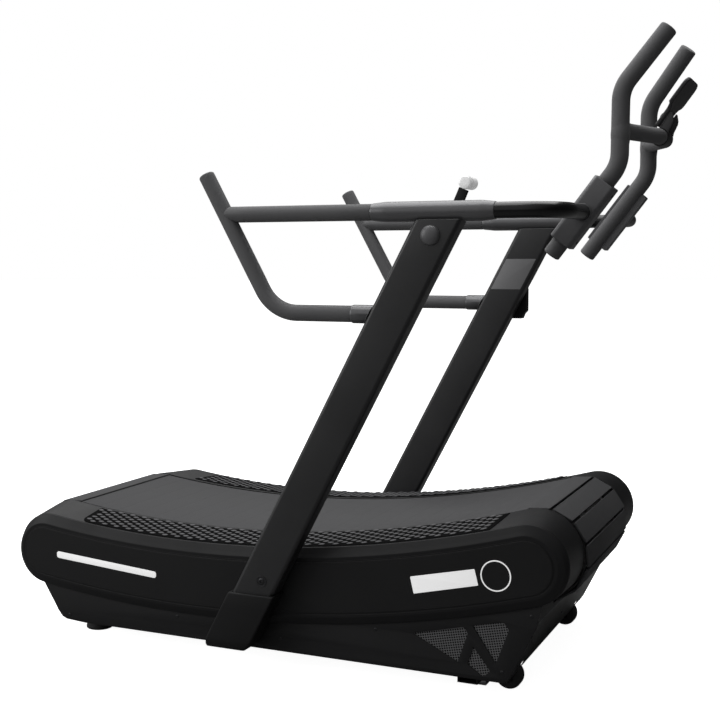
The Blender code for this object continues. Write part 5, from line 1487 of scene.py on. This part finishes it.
def plate_films(side, tag):
    """Plain rectangle, ring and bar on the side plate."""
    y = side * PLATE_Y
    film("film_label_" + tag, round_poly(LABEL, 0.002, 3), y, side, LABEL_FILM)
    outer, inner = ([(RING_X + x, RING_Z + z) for x, z in circle(96, r)]
                    for r in (RING_R, RING_R - RING_W))
    film("film_ring_" + tag, outer, y, side, LABEL_FILM, holes=[inner])
    film("film_bar_" + tag, round_poly(BAR_LABEL, 0.0080, 8), y, side, LABEL_FILM)


def upright_film():
    """Grey patch on the inner face of the left upright."""
    z0, z1 = 0.945, 1.034
    x0, x1 = upright_axis(z0).x, upright_axis(z1).x
    half = (UPRIGHT_W / 2 - 0.0105) / cos(LEAN)
    outline = round_poly([(x0 - half, z0), (x0 + half, z0), (x1 + half, z1), (x1 - half, z1)],
                         0.002, 3)
    film("film_patch_left", outline, UPRIGHT_Y - UPRIGHT_D / 2, -1, PATCH_FILM)


# ------------------------------------------------------------------- CAD nodes
def finish_cad_nodes():
    zinc_nodes = ("belt_guide_right", "belt_guide_left", "magnet_bracket")
    for name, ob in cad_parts.items():
        ob.data.materials.clear()
        ob.data.materials.append(ZINC if name in zinc_nodes else FRAME_PAINT)
        if not ob.hide_render:
            bevel = ob.modifiers.new("soft_edges", 'BEVEL')
            bevel.width, bevel.segments = 0.0006, 2
            bevel.limit_method, bevel.angle_limit = 'ANGLE', radians(40)


# ----------------------------------------------------------------------- stage
def floor_material():
    """White to the camera, grey to everything else."""
    mat, graph, shader = new_material("pale_floor")
    seen = graph.node("ShaderNodeLightPath").outputs["Is Camera Ray"]
    graph.feed(shader, {
        "Roughness": 0.9, "Specular IOR Level": 0.0,
        "Base Color": graph.mix(seen, (0.20, 0.20, 0.20), (0.92, 0.92, 0.92)),
        "Emission Color": (1, 1, 1, 1), "Emission Strength": graph.math("MULTIPLY", seen, 0.95)})
    return mat


def floor():
    bm = bmesh.new()
    count = 64
    centre = bm.verts.new((0, 0, 0))
    rows = [[bm.verts.new((x, y, 0.0)) for x, y in circle(count, r)]
            for r in (1.0, 2.5, 5.0, 9.0, 16.0, 30.0, 60.0)]
    for i in range(count):
        bm.faces.new((centre, rows[0][i], rows[0][(i + 1) % count]))
    for inner, outer in zip(rows[:-1], rows[1:]):
        for i in range(count):
            j = (i + 1) % count
            bm.faces.new((inner[i], outer[i], outer[j], inner[j]))
    ob = link_object("floor", mesh_of("floor", bm))
    ob.data.materials.append(floor_material())


def studio_world():
    """White to the camera; otherwise a soft room, brighter above and to the camera's left,
    dark to the front of the machine."""
    world = bpy.data.worlds.new("studio")
    SCENE.world = world
    world.use_nodes = True
    world.node_tree.nodes.clear()
    graph = Graph(world.node_tree)
    direction = graph.node("ShaderNodeTexCoord").outputs["Generated"]
    facing = graph.node("ShaderNodeVectorMath", {0: direction, 1: (-0.70, -0.45, 0.55)},
                        operation='DOT_PRODUCT').outputs["Value"]
    grey = graph.span(facing, 0.04, 0.56, start=-0.35, end=1.0, interpolation_type='SMOOTHSTEP')
    colour = graph.node("ShaderNodeCombineColor", {0: grey, 1: grey, 2: grey}).outputs[0]
    room = graph.node("ShaderNodeBackground", {"Color": colour, "Strength": 1.0})
    backdrop = graph.node("ShaderNodeBackground", {"Color": (1, 1, 1, 1), "Strength": 1.0})
    seen = graph.node("ShaderNodeLightPath").outputs["Is Camera Ray"]
    mixed = graph.node("ShaderNodeMixShader", {0: seen, 1: room.outputs[0],
                                               2: backdrop.outputs[0]})
    graph.node("ShaderNodeOutputWorld", {"Surface": mixed.outputs[0]})


def softbox(name, at, aim, size, power):
    light = bpy.data.lights.new(name, 'AREA')
    light.shape = 'RECTANGLE'
    light.size, light.size_y = size
    light.energy = power
    ob = link_object(name, light)
    ob.location = Vector(at) + OFFSET
    ob.rotation_euler = (Vector(at) - Vector(aim)).to_track_quat('Z', 'Y').to_euler()
    ob.visible_camera = False


def camera():
    azimuth, elevation = radians(23.46), radians(4.77)
    back = Vector((sin(azimuth) * cos(elevation), -cos(azimuth) * cos(elevation),
                   sin(elevation)))
    lens = bpy.data.cameras.new("camera")
    lens.lens, lens.sensor_width, lens.sensor_fit = 59.52, 36.0, 'HORIZONTAL'
    ob = link_object("camera", lens)
    ob.location = Vector((EYE_X, -EYE_Y, EYE_Z)) + OFFSET
    ob.rotation_euler = back.to_track_quat('Z', 'Y').to_euler()
    SCENE.camera = ob
    SCENE.view_settings.view_transform = 'Standard'
    SCENE.view_settings.look = 'None'


# ----------------------------------------------------------------------- build
def on_both_sides(*makers):
    """Make all the pieces of one side, then those of the other."""
    for side, tag in SIDES:
        for make in makers:
            make(side, tag)


belt()
drum("front_drum", "front_roller", DRUM_X, FRONT_Z, y0=-0.272, y1=0.262)
drum("rear_drum", "rear_roller", -DRUM_X, REAR_Z, y0=-0.262, y1=0.262)
brake_disc()
on_both_sides(cover)
on_both_sides(tread)
on_both_sides(skirt, vent_backing)
end_sheets()
on_both_sides(rear_foot, front_foot, transport_wheel)
on_both_sides(upright, boot, upright_bolt)
on_both_sides(rear_post, low_collar, upper_rail)
on_both_sides(front_handle)
cross_bar()
lever()
hook()
console_panel()
for i, y in enumerate(KEY_YS):
    console_key(i, y)
console_housing()
on_both_sides(plate_films)
upright_film()
finish_cad_nodes()
floor()
studio_world()
softbox("top_box", at=(-0.2, 0.3, 3.4), aim=(0.0, 0.0, 0.3), size=(3.6, 3.0), power=108)
softbox("left_box", at=(-3.0, -2.6, 2.0), aim=(0.1, 0.0, 0.7), size=(2.2, 2.2), power=42)
softbox("back_box", at=(-2.6, 3.2, 2.4), aim=(0.0, 0.0, 0.4), size=(2.6, 1.6), power=12)
camera()
